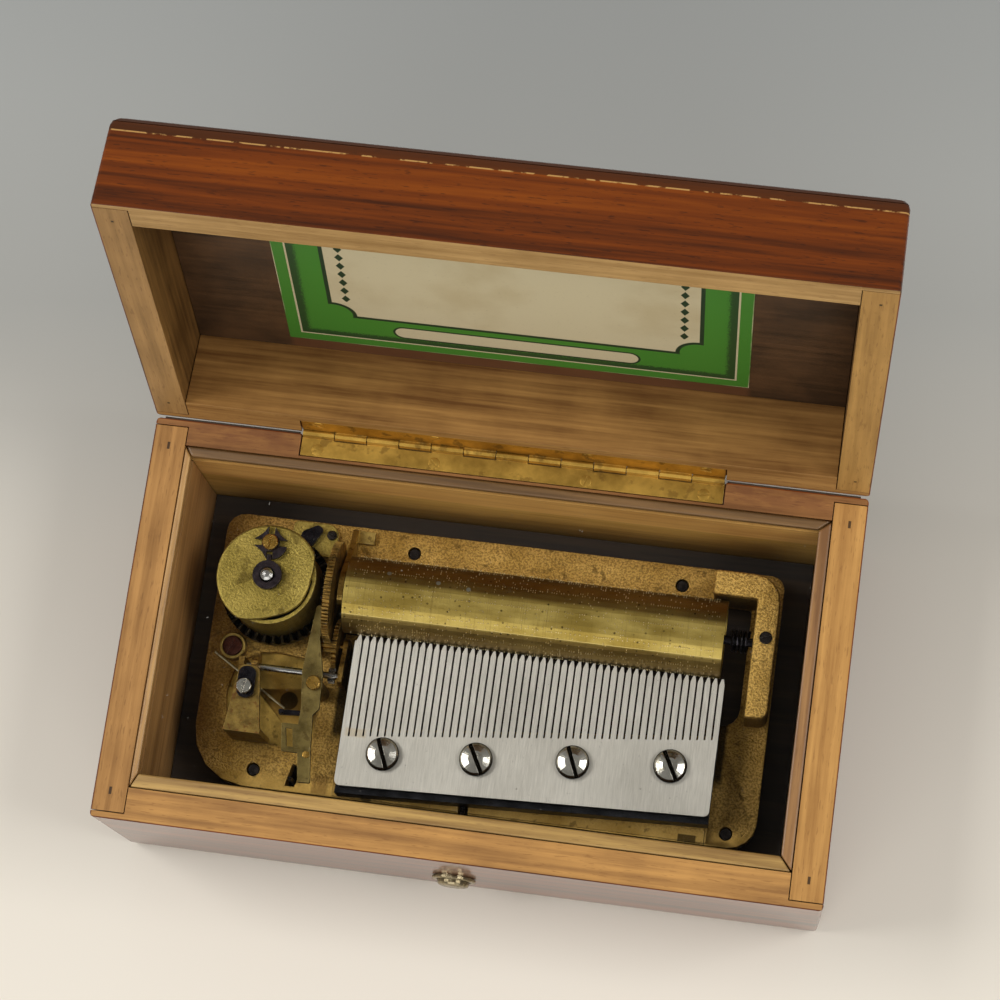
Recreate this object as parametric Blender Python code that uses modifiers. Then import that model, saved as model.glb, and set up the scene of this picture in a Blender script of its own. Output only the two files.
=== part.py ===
import math

import bmesh
import bpy
from mathutils import Matrix, Vector

MM = 0.001

# Lengths are measured from the case's left front bottom corner: x to the right,
# y to the back, z up. The last step moves everything to the middle of its box.

# Case and lid
CASE_WIDTH = 155 * MM
CASE_DEPTH = 88 * MM
CASE_HEIGHT = 44 * MM
BOARD = 7.1 * MM
BACK_BOARD = 5.5 * MM
LEFT_LINING = 1.6 * MM
RIGHT_LINING = 2.7 * MM
FRONT_LINING = 3.2 * MM
BACK_LINING = 2.3 * MM
FACING = 1.4 * MM
BOTTOM_ROUND = 2.5 * MM
CORNER_ROUND = 0.8 * MM
LID_HEIGHT = 21 * MM
LID_TOP = 2.1 * MM
LID_ROUND = 3.0 * MM
LID_GAP = 0.3 * MM
LID_ANGLE = math.radians(101.93)
LEDGE = CASE_HEIGHT - 3.4 * MM
GLASS_THICKNESS = 1.5 * MM
FLOOR_BOTTOM = 6 * MM
FLOOR_TOP = 10 * MM
LABEL_LEFT = 27.1 * MM
LABEL_RIGHT = CASE_WIDTH - 27.9 * MM
LABEL_DEPTH = 40.4 * MM
LABEL_THICKNESS = 0.2 * MM
LABEL_FROM_HINGE = BOARD + 0.3 * MM

# Gaps
GLUE_GAP = 0.2 * MM
CLEARANCE = 0.3 * MM
OVERSHOOT = 2 * MM

# Hinge
HINGE_LEFT = 32.4 * MM
HINGE_LENGTH = CASE_WIDTH - 63.2 * MM
HINGE_LEAF_FRONT = CASE_DEPTH - 4.7 * MM
HINGE_LEAF = 0.8 * MM
HINGE_SINK = 0.1 * MM
KNUCKLES = 13
KNUCKLE_RADIUS = 1.05 * MM
PIN_RADIUS = 0.4 * MM
HINGE_Y = CASE_DEPTH + LID_GAP
HINGE_Z = CASE_HEIGHT + LID_GAP / 2

# Bedplate
PLATE_LEFT = 14.2 * MM
PLATE_RIGHT = CASE_WIDTH - 15.7 * MM
PLATE_FRONT = 13.7 * MM
PLATE_BACK = CASE_DEPTH - 13.5 * MM
PLATE_BOTTOM = 14.5 * MM
PLATE_TOP = 18.5 * MM
POCKET_FLOOR = 17.0 * MM
PAD_HEIGHT = 0.4 * MM
LEG_RADIUS = 3.6 * MM
RIB_TOP = 31.5 * MM
FOOT_SCREWS = ((56.9 * MM, PLATE_BACK - 4.5 * MM), (PLATE_RIGHT - 22.4 * MM, PLATE_BACK - 4.5 * MM),
               (28.5 * MM, PLATE_FRONT + 3.9 * MM), (PLATE_RIGHT - 6.4 * MM, PLATE_FRONT + 3.0 * MM))
FOOT_SCREW_RADIUS = 1.2 * MM
FOOT_SCREW_TOP = 17.9 * MM

# Cylinder and its arbor
AXIS_Y = PLATE_BACK - 17.2 * MM
AXIS_Z = 27.5 * MM
CYLINDER_RADIUS = 8.45 * MM
CYLINDER_LEFT = 45.0 * MM
CYLINDER_RIGHT = PLATE_RIGHT - 11.5 * MM
ARBOR_RADIUS = 1.0 * MM
ARBOR_RIGHT = PLATE_RIGHT - 2.3 * MM
SPRING_LEFT = PLATE_RIGHT - 10.3 * MM
SPRING_RIGHT = PLATE_RIGHT - 5.9 * MM
SPRING_RADIUS = 2.3 * MM
SPRING_WIRE = 0.32 * MM
SPRING_COILS = 4
RIB_LEFT = PLATE_RIGHT - 5.3 * MM
RIB_RIGHT = PLATE_RIGHT - 0.4 * MM

# Gear train
GREAT_TEETH = 80
GREAT_PITCH = 11.0 * MM
GREAT_LEFT = 41.05 * MM
GREAT_RIGHT = 42.55 * MM
DRIVE_TEETH = 12
CROWN_TEETH = 36
CROWN_MIDDLE = 11.7 * MM
DRIVE_PITCH = CROWN_MIDDLE * DRIVE_TEETH / CROWN_TEETH
DRIVE_LEFT = 39.5 * MM
TRAIN_Z = 22.4 * MM
TRAIN_PINION_TEETH = 8
TRAIN_PINION_PITCH = GREAT_PITCH * TRAIN_PINION_TEETH / GREAT_TEETH
TRAIN_Y = AXIS_Y - math.sqrt((GREAT_PITCH + TRAIN_PINION_PITCH) ** 2 - (AXIS_Z - TRAIN_Z) ** 2)
TRAIN_WHEEL_TEETH = 32
TRAIN_WHEEL_LEFT = 43.1 * MM
TRAIN_WHEEL_RIGHT = 44.1 * MM
WORM_ARBOR_Y = AXIS_Y - 17.9 * MM
WORM_ARBOR_Z = 24.4 * MM
WORM_PINION_TEETH = 8
WORM_WHEEL_TEETH = 16
WORM_WHEEL_PITCH = 3.2 * MM
WORM_X = 26.7 * MM
WORM_PITCH_RADIUS = 0.85 * MM
WORM_Y = WORM_ARBOR_Y - WORM_WHEEL_PITCH - WORM_PITCH_RADIUS
COCK_SCREW = (WORM_X - 0.3 * MM, WORM_Y - 2.05 * MM)
FLY_Z = 29.9 * MM
FLY_LENGTH = 20 * MM
FLY_WIRE = 0.25 * MM
FLY_ANGLE = math.radians(-31.6)
PIVOT = 0.4 * MM

# Spring barrel
BARREL_X = 28.4 * MM
BARREL_Y = AXIS_Y
DRUM_RADIUS = 10.4 * MM
DRUM_WALL = 0.8 * MM
DRUM_BOTTOM = 21.3 * MM
DRUM_TOP = LEDGE - 4.3 * MM
COVER_RADIUS = 11.3 * MM
COVER_THICKNESS = 0.9 * MM
CROWN_OUTER = 12.3 * MM
BARREL_ARBOR = 1.5 * MM
STOPWORK_THICKNESS = 0.8 * MM
FINGER_DISC = 3.2 * MM
FINGER_REACH = 4.5 * MM
FINGER_WIDTH = 1.0 * MM
CROSS_DISTANCE = 7.1 * MM
CROSS_ANGLE = math.radians(92.4)
CROSS_RADIUS = 3.65 * MM
CROSS_SLOT = 1.4 * MM
RATCHET_RADIUS = 7.5 * MM
RATCHET_TEETH = 16
RATCHET_BOTTOM = 19.9 * MM
RATCHET_TOP = 20.9 * MM
CLICK_PLACE = (33.2 * MM, AXIS_Y + 13.0 * MM)

# Comb
COMB_LEFT = 48.0 * MM
COMB_RIGHT = PLATE_RIGHT - 10.3 * MM
COMB_FRONT = (15.3 * MM, 18.6 * MM)
COMB_SLOT_END = (26.0 * MM, 35.3 * MM)
COMB_TIP = AXIS_Y - CYLINDER_RADIUS - 0.25 * MM
COMB_SHOULDER = COMB_TIP - 1.3 * MM
COMB_TOP = 27.7 * MM
COMB_THICKNESS = 2.4 * MM
TOOTH_THICKNESS = 1.0 * MM
TEETH = 52
FIRST_SLOT = 1.7 * MM
LAST_TOOTH = 1.3 * MM
TOOTH_PITCH = (COMB_RIGHT - COMB_LEFT - FIRST_SLOT - LAST_TOOTH) / (TEETH - 2)
SLOT_WIDTH = 0.4 * MM
TIP_WIDTH = 0.45 * MM
BASE_PROUD = 1.3 * MM
COMB_SCREWS = tuple((COMB_LEFT + share * (COMB_RIGHT - COMB_LEFT), y * MM)
                    for share, y in ((0.12, 23.1), (0.37, 24.5), (0.626, 26.5), (0.884, 28.3)))
COMB_SCREW_HEAD = 3.65 * MM
COMB_SCREW_SHANK = 1.5 * MM

# Start button and stop lever
BUTTON_X = CASE_WIDTH / 2 - 1.8 * MM
BUTTON_Z = 17.6 * MM
BUTTON_RADIUS = 3.5 * MM
BUTTON_PROUD = 2.2 * MM
BUTTON_TRAVEL = 2.0 * MM
FLANGE_RADIUS = 4.8 * MM
ROD_RADIUS = 0.7 * MM
LEVER_X = 41.1 * MM
LEVER_Y = AXIS_Y - 21.3 * MM
LEVER_BOTTOM = 31.0 * MM
LEVER_TOP = 32.2 * MM

# Winding key
KEY_BOTTOM = 0.8 * MM
KEY_TOP = 5.5 * MM
KEY_SPAN = 22 * MM
KEY_HOLE = 7.5 * MM

for old in list(bpy.data.objects):
    bpy.data.objects.remove(old)

parts = bpy.data.collections.new("music_box")
cutters = bpy.data.collections.new("cutters")
bpy.context.scene.collection.children.link(parts)
bpy.context.scene.collection.children.link(cutters)

# Axes for shapes drawn flat: their own x, y and height become these of the case.
ALONG_X = Matrix(((0, 0, 1, 0), (1, 0, 0, 0), (0, 1, 0, 0), (0, 0, 0, 1)))
ALONG_Y = Matrix(((0, 1, 0, 0), (0, 0, 1, 0), (1, 0, 0, 0), (0, 0, 0, 1)))
ALONG_Z = Matrix.Identity(4)


def paint(name, colour, metallic=0.0, roughness=0.4, alpha=1.0):
    material = bpy.data.materials.new(name)
    material.use_nodes = True
    shader = material.node_tree.nodes["Principled BSDF"]
    shader.inputs["Base Color"].default_value = (*colour, 1)
    shader.inputs["Metallic"].default_value = metallic
    shader.inputs["Roughness"].default_value = roughness
    shader.inputs["Alpha"].default_value = alpha
    return material


LACQUER = ((0.24, 0.06, 0.012), 0.0, 0.2)
BARE_WOOD = ((0.42, 0.22, 0.09), 0.0, 0.5)
DARK_WOOD = ((0.08, 0.05, 0.03), 0.0, 0.6)
BRASS = ((0.55, 0.4, 0.13), 1.0, 0.35)
CAST = ((0.55, 0.4, 0.18), 1.0, 0.5)
STEEL = ((0.55, 0.55, 0.54), 1.0, 0.3)
BLUED = ((0.05, 0.05, 0.06), 1.0, 0.35)
PAPER = ((0.4, 0.5, 0.3), 0.0, 0.8)
CLEAR = ((0.9, 0.95, 0.93), 0.0, 0.03)


def link(name, mesh, group):
    thing = bpy.data.objects.new(name, mesh)
    group.objects.link(thing)
    return thing


def from_bmesh(name, shape, group):
    bmesh.ops.recalc_face_normals(shape, faces=shape.faces)
    mesh = bpy.data.meshes.new(name)
    shape.to_mesh(mesh)
    shape.free()
    return link(name, mesh, group)


def block(name, low, high, group=parts, rounding=0.0, segments=2, edges=None):
    """Box between two corners; edges picks which of its edges are rounded."""
    shape = bmesh.new()
    bmesh.ops.create_cube(shape, size=1)
    low, high = Vector(low), Vector(high)
    size = high - low
    bmesh.ops.scale(shape, vec=size, verts=shape.verts)
    bmesh.ops.translate(shape, vec=(low + high) / 2, verts=shape.verts)
    if rounding:
        chosen = [edge for edge in shape.edges if edges is None or edges(edge)]
        bmesh.ops.bevel(shape, geom=chosen, offset=rounding, segments=segments,
                        affect="EDGES", profile=0.5, material=-1)
    return from_bmesh(name, shape, group)


def from_curve(name, curve, group):
    """Turns a curve into a closed mesh; its caps and sides are welded."""
    holder = bpy.data.objects.new(name + "_curve", curve)
    bpy.context.scene.collection.objects.link(holder)
    graph = bpy.context.evaluated_depsgraph_get()
    mesh = bpy.data.meshes.new_from_object(holder.evaluated_get(graph))
    bpy.data.objects.remove(holder)
    shape = bmesh.new()
    shape.from_mesh(mesh)
    bmesh.ops.remove_doubles(shape, verts=shape.verts, dist=0.001 * MM)
    return from_bmesh(name, shape, group)


def prism(name, outline, bottom, top, holes=(), group=parts, lay=ALONG_Z):
    """Flat plate with an outline and holes, from one height to another."""
    if not holes:
        shape = bmesh.new()
        edge_loop = [shape.verts.new((x, y, bottom)) for x, y in outline]
        cap = shape.faces.new(edge_loop)
        swept = bmesh.ops.extrude_face_region(shape, geom=[cap], use_keep_orig=True)
        raised = [item for item in swept["geom"] if isinstance(item, bmesh.types.BMVert)]
        bmesh.ops.translate(shape, vec=(0, 0, top - bottom), verts=raised)
        thing = from_bmesh(name, shape, group)
        thing.data.transform(lay)
        return thing
    curve = bpy.data.curves.new(name, "CURVE")
    curve.dimensions = "2D"
    curve.fill_mode = "BOTH"
    curve.extrude = (top - bottom) / 2
    for ring in (outline, *holes):
        spline = curve.splines.new("POLY")
        spline.points.add(len(ring) - 1)
        for point, (x, y) in zip(spline.points, ring):
            point.co = (x, y, 0, 1)
        spline.use_cyclic_u = True
    thing = from_curve(name, curve, group)
    thing.data.transform(lay @ Matrix.Translation((0, 0, (top + bottom) / 2)))
    return thing


def rod(name, path, radius, group=parts, sides=2, closed=False):
    curve = bpy.data.curves.new(name, "CURVE")
    curve.dimensions = "3D"
    curve.bevel_depth = radius
    curve.bevel_resolution = sides
    curve.use_fill_caps = True
    spline = curve.splines.new("POLY")
    spline.points.add(len(path) - 1)
    for point, place in zip(spline.points, path):
        point.co = (*place, 1)
    spline.use_cyclic_u = closed
    return from_curve(name, curve, group)


def turned(name, profile, centre, lay=ALONG_Z, sides=48, group=parts):
    """Revolves a closed profile of (radius, height) pairs about an axis through the centre."""
    shape = bmesh.new()
    verts = [shape.verts.new((radius, 0, height)) for radius, height in profile]
    edges = [shape.edges.new(pair) for pair in zip(verts, verts[1:] + verts[:1])]
    on_axis = min(radius for radius, height in profile) <= 0
    if on_axis:
        edges = [edge for edge in edges if any(vert.co.x > 0 for vert in edge.verts)]
    bmesh.ops.spin(shape, geom=verts + edges, cent=(0, 0, 0), axis=(0, 0, 1),
                   angle=2 * math.pi, steps=sides, use_merge=True)
    bmesh.ops.remove_doubles(shape, verts=shape.verts, dist=0.001 * MM)
    loose = [edge for edge in shape.edges if not edge.link_faces]
    bmesh.ops.delete(shape, geom=loose, context="EDGES")
    thing = from_bmesh(name, shape, group)
    thing.data.transform(Matrix.Translation(centre) @ lay)
    return thing


def disc(name, centre, radius, bottom, top, lay=ALONG_Z, sides=32, group=parts):
    """Round bar; centre holds the two place values across its axis."""
    shape = bmesh.new()
    bmesh.ops.create_cone(shape, cap_ends=True, segments=sides, radius1=radius,
                          radius2=radius, depth=top - bottom)
    bmesh.ops.translate(shape, vec=(*centre, (top + bottom) / 2), verts=shape.verts)
    thing = from_bmesh(name, shape, group)
    thing.data.transform(lay)
    return thing


def merge_tools(name, things):
    """One cutter object out of several shapes that don't touch."""
    shape = bmesh.new()
    for thing in things:
        shape.from_mesh(thing.data)
        bpy.data.objects.remove(thing)
    return from_bmesh(name, shape, cutters)


def combine(thing, tool, operation):
    step = thing.modifiers.new(tool.name, "BOOLEAN")
    step.object = tool
    step.operation = operation
    step.solver = "EXACT"
    tool.hide_render = True
    tool.display_type = "WIRE"
    return thing


def cut(thing, *tools):
    for tool in tools:
        combine(thing, tool, "DIFFERENCE")


def join(thing, *tools):
    for tool in tools:
        combine(thing, tool, "UNION")


def keep(thing, tool):
    combine(thing, tool, "INTERSECT")


def mm(pairs):
    return [(x * MM, y * MM) for x, y in pairs]


def from_axis(corners, depth=1):
    """Corners in millimetres; their depth, at that place, is counted from the cylinder's axis."""
    return [tuple(value + AXIS_Y / MM * (place == depth) for place, value in enumerate(corner))
            for corner in corners]


def ring(centre, radius, sides=16):
    return [(centre[0] + radius * math.cos(2 * math.pi * k / sides),
             centre[1] + radius * math.sin(2 * math.pi * k / sides)) for k in range(sides)]


def rounded(corners, steps=4):
    """Outline through corners, each (x, y, radius) in millimetres, rounded by arcs."""
    outline = []
    for index, (x, y, radius) in enumerate(corners):
        here = Vector((x, y)) * MM
        before = Vector(corners[index - 1][:2]) * MM
        after = Vector(corners[(index + 1) % len(corners)][:2]) * MM
        if not radius:
            outline.append(tuple(here))
            continue
        back = (before - here).normalized()
        onward = (after - here).normalized()
        half = back.angle(onward) / 2
        reach = radius * MM / math.tan(half)
        centre = here + (back + onward).normalized() * radius * MM / math.sin(half)
        first = here + back * reach - centre
        last = here + onward * reach - centre
        turn = first.angle_signed(last)
        for step in range(steps + 1):
            angle = math.atan2(first.y, first.x) - turn * step / steps
            outline.append((centre.x + radius * MM * math.cos(angle),
                            centre.y + radius * MM * math.sin(angle)))
    return outline


def gear(teeth, pitch, centre, phase=0.0, addendum=0.9, dedendum=1.2):
    """Outline of a gear with straight flanked teeth; one tooth stands at the phase."""
    module = 2 * pitch / teeth
    tip = pitch + addendum * module
    root = pitch - dedendum * module
    outline = []
    for tooth in range(teeth):
        for share, radius in ((-0.3, root), (-0.11, tip), (0.11, tip), (0.3, root)):
            angle = phase + 2 * math.pi * (tooth + share) / teeth
            outline.append((centre[0] + radius * math.cos(angle),
                            centre[1] + radius * math.sin(angle)))
    return outline


def smooth(thing, degrees=35):
    """Smooth shading with edges sharper than the limit kept."""
    for face in thing.data.polygons:
        face.use_smooth = True
    shape = bmesh.new()
    shape.from_mesh(thing.data)
    for edge in shape.edges:
        edge.smooth = len(edge.link_faces) == 2 and edge.calc_face_angle() < math.radians(degrees)
    shape.to_mesh(thing.data)
    shape.free()
    return thing


def finish(thing, look, pivot=None, alpha=1.0):
    """Gives a piece its material and puts its origin on the joint axis."""
    if not thing.data.materials:
        thing.data.materials.append(paint(thing.name, *look, alpha=alpha))
    if pivot:
        thing.data.transform(Matrix.Translation(-Vector(pivot)))
        thing.location = pivot
    return thing


# Case boards. Facings of the front and back boards cover the ends of the side boards.
inner_left = BOARD + LEFT_LINING
inner_right = CASE_WIDTH - BOARD - RIGHT_LINING
inner_front = BOARD + FRONT_LINING
inner_back = CASE_DEPTH - BACK_BOARD - BACK_LINING


def is_bottom_edge(edge):
    return all(vert.co.z < CASE_HEIGHT / 2 for vert in edge.verts)


def is_top_edge(edge):
    return all(vert.co.z > CASE_HEIGHT + LID_HEIGHT / 2 for vert in edge.verts)


def is_corner(edge):
    """Upright edges, and the slanting ones that carry them round the long rounding."""
    span = edge.verts[0].co - edge.verts[1].co
    along_side = abs(span.x) > 10 * MM or abs(span.y) > 10 * MM
    return not along_side


def outer_form(name, low, high, rounding, rounded_edges):
    """The box's outside with rounded edges; the boards are cut to it."""
    shape = bmesh.new()
    bmesh.ops.create_cube(shape, size=1)
    low, high = Vector(low), Vector(high)
    bmesh.ops.scale(shape, vec=high - low, verts=shape.verts)
    bmesh.ops.translate(shape, vec=(low + high) / 2, verts=shape.verts)
    chosen = [edge for edge in shape.edges if rounded_edges(edge)]
    bmesh.ops.bevel(shape, geom=chosen, offset=rounding, segments=4,
                    affect="EDGES", profile=0.5, material=-1)
    corners = [edge for edge in shape.edges if is_corner(edge)]
    bmesh.ops.bevel(shape, geom=corners, offset=CORNER_ROUND, segments=2,
                    affect="EDGES", profile=0.5, material=-1)
    return from_bmesh(name, shape, cutters)


case_form = outer_form("case_form", (0, 0, 0), (CASE_WIDTH, CASE_DEPTH, CASE_HEIGHT),
                       BOTTOM_ROUND, is_bottom_edge)
rebate = block("glazing_rebate", (BOARD, BOARD, LEDGE),
               (CASE_WIDTH - BOARD, CASE_DEPTH - BACK_BOARD, CASE_HEIGHT + OVERSHOOT), cutters)


def board_plan(face, core_low, core_high, core_face):
    """Outline of a front or back board seen from above: its facing and its core."""
    out = face - math.copysign(OVERSHOOT, core_face - face)
    step = face + math.copysign(FACING, core_face - face)
    return [(-OVERSHOOT, out), (CASE_WIDTH + OVERSHOOT, out), (CASE_WIDTH + OVERSHOOT, step),
            (core_high, step), (core_high, core_face), (core_low, core_face),
            (core_low, step), (-OVERSHOOT, step)]


def side_plan(face, thickness, lining, low, high, lining_low, lining_high):
    """Outline of a side board seen from above, with its lining step."""
    out = face - math.copysign(OVERSHOOT, thickness)
    flat = face + thickness
    step = flat + lining
    if not lining:
        return [(out, low), (flat, low), (flat, high), (out, high)]
    return [(out, low), (flat, low), (flat, lining_low), (step, lining_low),
            (step, lining_high), (flat, lining_high), (flat, high), (out, high)]


core_left = BOARD + GLUE_GAP
core_right = CASE_WIDTH - BOARD - GLUE_GAP
side_low = FACING + GLUE_GAP
side_high = CASE_DEPTH - FACING - GLUE_GAP
lining_low = inner_front + GLUE_GAP
lining_high = inner_back - GLUE_GAP
case_plans = {
    "front_board": board_plan(0, core_left, core_right, inner_front),
    "back_board": board_plan(CASE_DEPTH, core_left, core_right, inner_back),
    "left_board": side_plan(0, BOARD, LEFT_LINING, side_low, side_high, lining_low, lining_high),
    "right_board": side_plan(CASE_WIDTH, -BOARD, -RIGHT_LINING, side_low, side_high,
                             lining_low, lining_high),
}
case_boards = {}
for name, plan in case_plans.items():
    board = prism(name, plan, -OVERSHOOT, CASE_HEIGHT + OVERSHOOT)
    keep(board, case_form)
    cut(board, rebate)
    case_boards[name] = finish(board, LACQUER)

bottom_panel = block("bottom_panel",
                     (inner_left + GLUE_GAP, inner_front + GLUE_GAP, FLOOR_BOTTOM),
                     (inner_right - GLUE_GAP, inner_back - GLUE_GAP, FLOOR_TOP))
screw_holes = [disc("foot_hole", (x, y), FOOT_SCREW_RADIUS + CLEARANCE,
                    FLOOR_BOTTOM - OVERSHOOT, FLOOR_TOP + OVERSHOOT, sides=12)
               for x, y in FOOT_SCREWS]
key_hole = disc("key_hole", (BARREL_X, BARREL_Y), KEY_HOLE,
                FLOOR_BOTTOM - OVERSHOOT, FLOOR_TOP + OVERSHOOT, sides=20)
cut(bottom_panel, merge_tools("floor_holes", [*screw_holes, key_hole]))
finish(bottom_panel, DARK_WOOD)

# Glazing: four mitred beads hold the pane on the ledge of the boards.
bead_bottom = LEDGE + GLUE_GAP + GLASS_THICKNESS + GLUE_GAP
rebate_low = Vector((BOARD, BOARD))
rebate_high = Vector((CASE_WIDTH - BOARD, CASE_DEPTH - BACK_BOARD))
sight_low = Vector((inner_left, inner_front))
sight_high = Vector((inner_right, inner_back))
outer_corners = [rebate_low, Vector((rebate_high.x, rebate_low.y)), rebate_high,
                 Vector((rebate_low.x, rebate_high.y))]
inner_corners = [sight_low, Vector((sight_high.x, sight_low.y)), sight_high,
                 Vector((sight_low.x, sight_high.y))]
bead_names = ("bead_front", "bead_right", "bead_back", "bead_left")
for index, name in enumerate(bead_names):
    after = (index + 1) % len(bead_names)
    along = (outer_corners[after] - outer_corners[index]).normalized()
    inward = Vector((-along.y, along.x))
    shift = inward * GLUE_GAP
    outline = [outer_corners[index] + shift + along * 2 * GLUE_GAP,
               outer_corners[after] + shift - along * 2 * GLUE_GAP,
               inner_corners[after] - along * GLUE_GAP,
               inner_corners[index] + along * GLUE_GAP]
    bead = prism(name, [tuple(point) for point in outline], bead_bottom, CASE_HEIGHT)
    ease = bead.modifiers.new("ease", "BEVEL")
    ease.width = 0.35 * MM
    ease.segments = 2
    finish(bead, BARE_WOOD)

pane = block("glass_pane",
             (BOARD + CLEARANCE, BOARD + CLEARANCE, LEDGE + GLUE_GAP),
             (CASE_WIDTH - BOARD - CLEARANCE, CASE_DEPTH - BACK_BOARD - CLEARANCE,
              LEDGE + GLUE_GAP + GLASS_THICKNESS))
finish(pane, CLEAR, alpha=0.15)

# Lid, drawn closed and turned open about the hinge at the end.
lid_bottom = CASE_HEIGHT + LID_GAP
lid_seam = lid_bottom + LID_HEIGHT - LID_TOP
hinge_point = (CASE_WIDTH / 2, HINGE_Y, HINGE_Z)
lid_form = outer_form("lid_form", (0, 0, lid_bottom),
                      (CASE_WIDTH, CASE_DEPTH, lid_bottom + LID_HEIGHT),
                      LID_ROUND, is_top_edge)
lid_plans = {
    "lid_front_board": board_plan(0, core_left, core_right, BOARD),
    "lid_back_board": board_plan(CASE_DEPTH, core_left, core_right, CASE_DEPTH - BOARD),
    "lid_left_board": side_plan(0, BOARD, 0, side_low, side_high, side_low, side_high),
    "lid_right_board": side_plan(CASE_WIDTH, -BOARD, 0, side_low, side_high, side_low, side_high),
}
lid_things = [lid_form]
lid_boards = {}
for name, plan in lid_plans.items():
    board = prism(name, plan, lid_bottom - OVERSHOOT, lid_seam)
    keep(board, lid_form)
    lid_boards[name] = finish(board, LACQUER)
    lid_things.append(board)

lid_panel = block("lid_top_panel", (-OVERSHOOT, -OVERSHOOT, lid_seam + GLUE_GAP),
                  (CASE_WIDTH + OVERSHOOT, CASE_DEPTH + OVERSHOOT,
                   lid_bottom + LID_HEIGHT + OVERSHOOT))
keep(lid_panel, lid_form)
finish(lid_panel, LACQUER)
lid_things.append(lid_panel)

label_back = CASE_DEPTH - LABEL_FROM_HINGE
label_top = lid_seam
label = block("lid_label", (LABEL_LEFT, label_back - LABEL_DEPTH, label_top - LABEL_THICKNESS),
              (LABEL_RIGHT, label_back, label_top))
finish(label, PAPER)
lid_things.append(label)

# Hinge: two leaves let into the rims, with knuckles in turn round one pin.
knuckle_pitch = HINGE_LENGTH / KNUCKLES
bore_radius = PIN_RADIUS + 0.8 * CLEARANCE


def knuckle_set(name, radius, first, widen):
    """The knuckles of one leaf, as round bars along the hinge axis."""
    bars = []
    for index in range(first, KNUCKLES, 2):
        left = HINGE_LEFT + index * knuckle_pitch + GLUE_GAP / 2 - widen
        right = HINGE_LEFT + (index + 1) * knuckle_pitch - GLUE_GAP / 2 + widen
        bars.append(disc("knuckle", (HINGE_Y, HINGE_Z), radius, left, right,
                         lay=ALONG_X, sides=10))
    return merge_tools(name, bars)


hinge_bore = disc("hinge_bore", (HINGE_Y, HINGE_Z), bore_radius, HINGE_LEFT - OVERSHOOT,
                  HINGE_LEFT + HINGE_LENGTH + OVERSHOOT, lay=ALONG_X, sides=10, group=cutters)
leaf_heights = {
    "hinge_case_leaf": (CASE_HEIGHT - HINGE_SINK - HINGE_LEAF, CASE_HEIGHT - HINGE_SINK),
    "hinge_lid_leaf": (lid_bottom + HINGE_SINK, lid_bottom + HINGE_SINK + HINGE_LEAF),
}
for order, (name, (low, high)) in enumerate(leaf_heights.items()):
    leaf = block(name, (HINGE_LEFT, HINGE_LEAF_FRONT, low),
                 (HINGE_LEFT + HINGE_LENGTH, HINGE_Y, high))
    clear = knuckle_set(name + "_relief", KNUCKLE_RADIUS + GLUE_GAP, 1 - order, GLUE_GAP)
    own = knuckle_set(name + "_knuckles", KNUCKLE_RADIUS, order, 0)
    cut(leaf, clear)
    join(leaf, own)
    cut(leaf, hinge_bore)
    finish(leaf, BRASS)
    if order:
        lid_things += [leaf, clear, own]
leaf_seat = {
    "back_board": (CASE_HEIGHT - HINGE_SINK - HINGE_LEAF - GLUE_GAP, CASE_HEIGHT + OVERSHOOT),
    "lid_back_board": (lid_bottom - OVERSHOOT, lid_bottom + HINGE_SINK + HINGE_LEAF + GLUE_GAP),
}
for name, (low, high) in leaf_seat.items():
    seat = block(name + "_seat", (HINGE_LEFT - CLEARANCE, HINGE_LEAF_FRONT - GLUE_GAP, low),
                 (HINGE_LEFT + HINGE_LENGTH + CLEARANCE, CASE_DEPTH + OVERSHOOT, high), cutters)
    if name in case_boards:
        cut(case_boards[name], seat)
    else:
        cut(lid_boards[name], seat)
        lid_things.append(seat)
pin = disc("hinge_pin", (HINGE_Y, HINGE_Z), PIN_RADIUS, HINGE_LEFT + GLUE_GAP,
           HINGE_LEFT + HINGE_LENGTH - GLUE_GAP, lay=ALONG_X, sides=12)
finish(smooth(pin), BRASS)

# Bedplate with its openings, pocket, legs, right rib, lugs and posts.
plate_outline = rounded([
    (PLATE_LEFT / MM, PLATE_FRONT / MM, 12.5), (PLATE_RIGHT / MM, PLATE_FRONT / MM, 6),
    (PLATE_RIGHT / MM, PLATE_BACK / MM, 3), (PLATE_LEFT / MM, PLATE_BACK / MM, 4)])
wheel_slot_left = (GREAT_LEFT - 1.5 * CLEARANCE) / MM
train_slot = ((TRAIN_WHEEL_LEFT - 1.5 * CLEARANCE) / MM, (TRAIN_WHEEL_RIGHT + CLEARANCE) / MM)
opening_right = PLATE_RIGHT / MM - 6.5
cylinder_opening = rounded(from_axis([
    (47.2, -17.4, 0), (opening_right, -17.4, 4), (opening_right, 9.7, 1), (wheel_slot_left, 9.7, 1),
    (wheel_slot_left, -7.3, 0), (train_slot[0], -7.3, 0), (train_slot[0], -16.3, 0),
    (train_slot[1], -16.3, 0), (train_slot[1], -7.3, 0), (47.2, -7.3, 0)]))
foot_rings = [ring((x, y), FOOT_SCREW_RADIUS + CLEARANCE, 12) for x, y in FOOT_SCREWS]
comb_rings = [ring((x, y), COMB_SCREW_SHANK + CLEARANCE, 12) for x, y in COMB_SCREWS]
link_slot = mm([(35.9, 14.9), (38.1, 14.9), (39.2, 19.3), (37.0, 19.9)])
bedplate = prism("bedplate", plate_outline, PLATE_BOTTOM, PLATE_TOP,
                 holes=[cylinder_opening, link_slot])
pad_right = COMB_RIGHT / MM - 0.2
comb_pad = prism("comb_pad", mm([(46.5, 14.0), (pad_right, 14.0), (pad_right, 37.5), (46.5, 29.0)]),
                 PLATE_TOP - MM, PLATE_TOP + PAD_HEIGHT, group=cutters)
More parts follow.
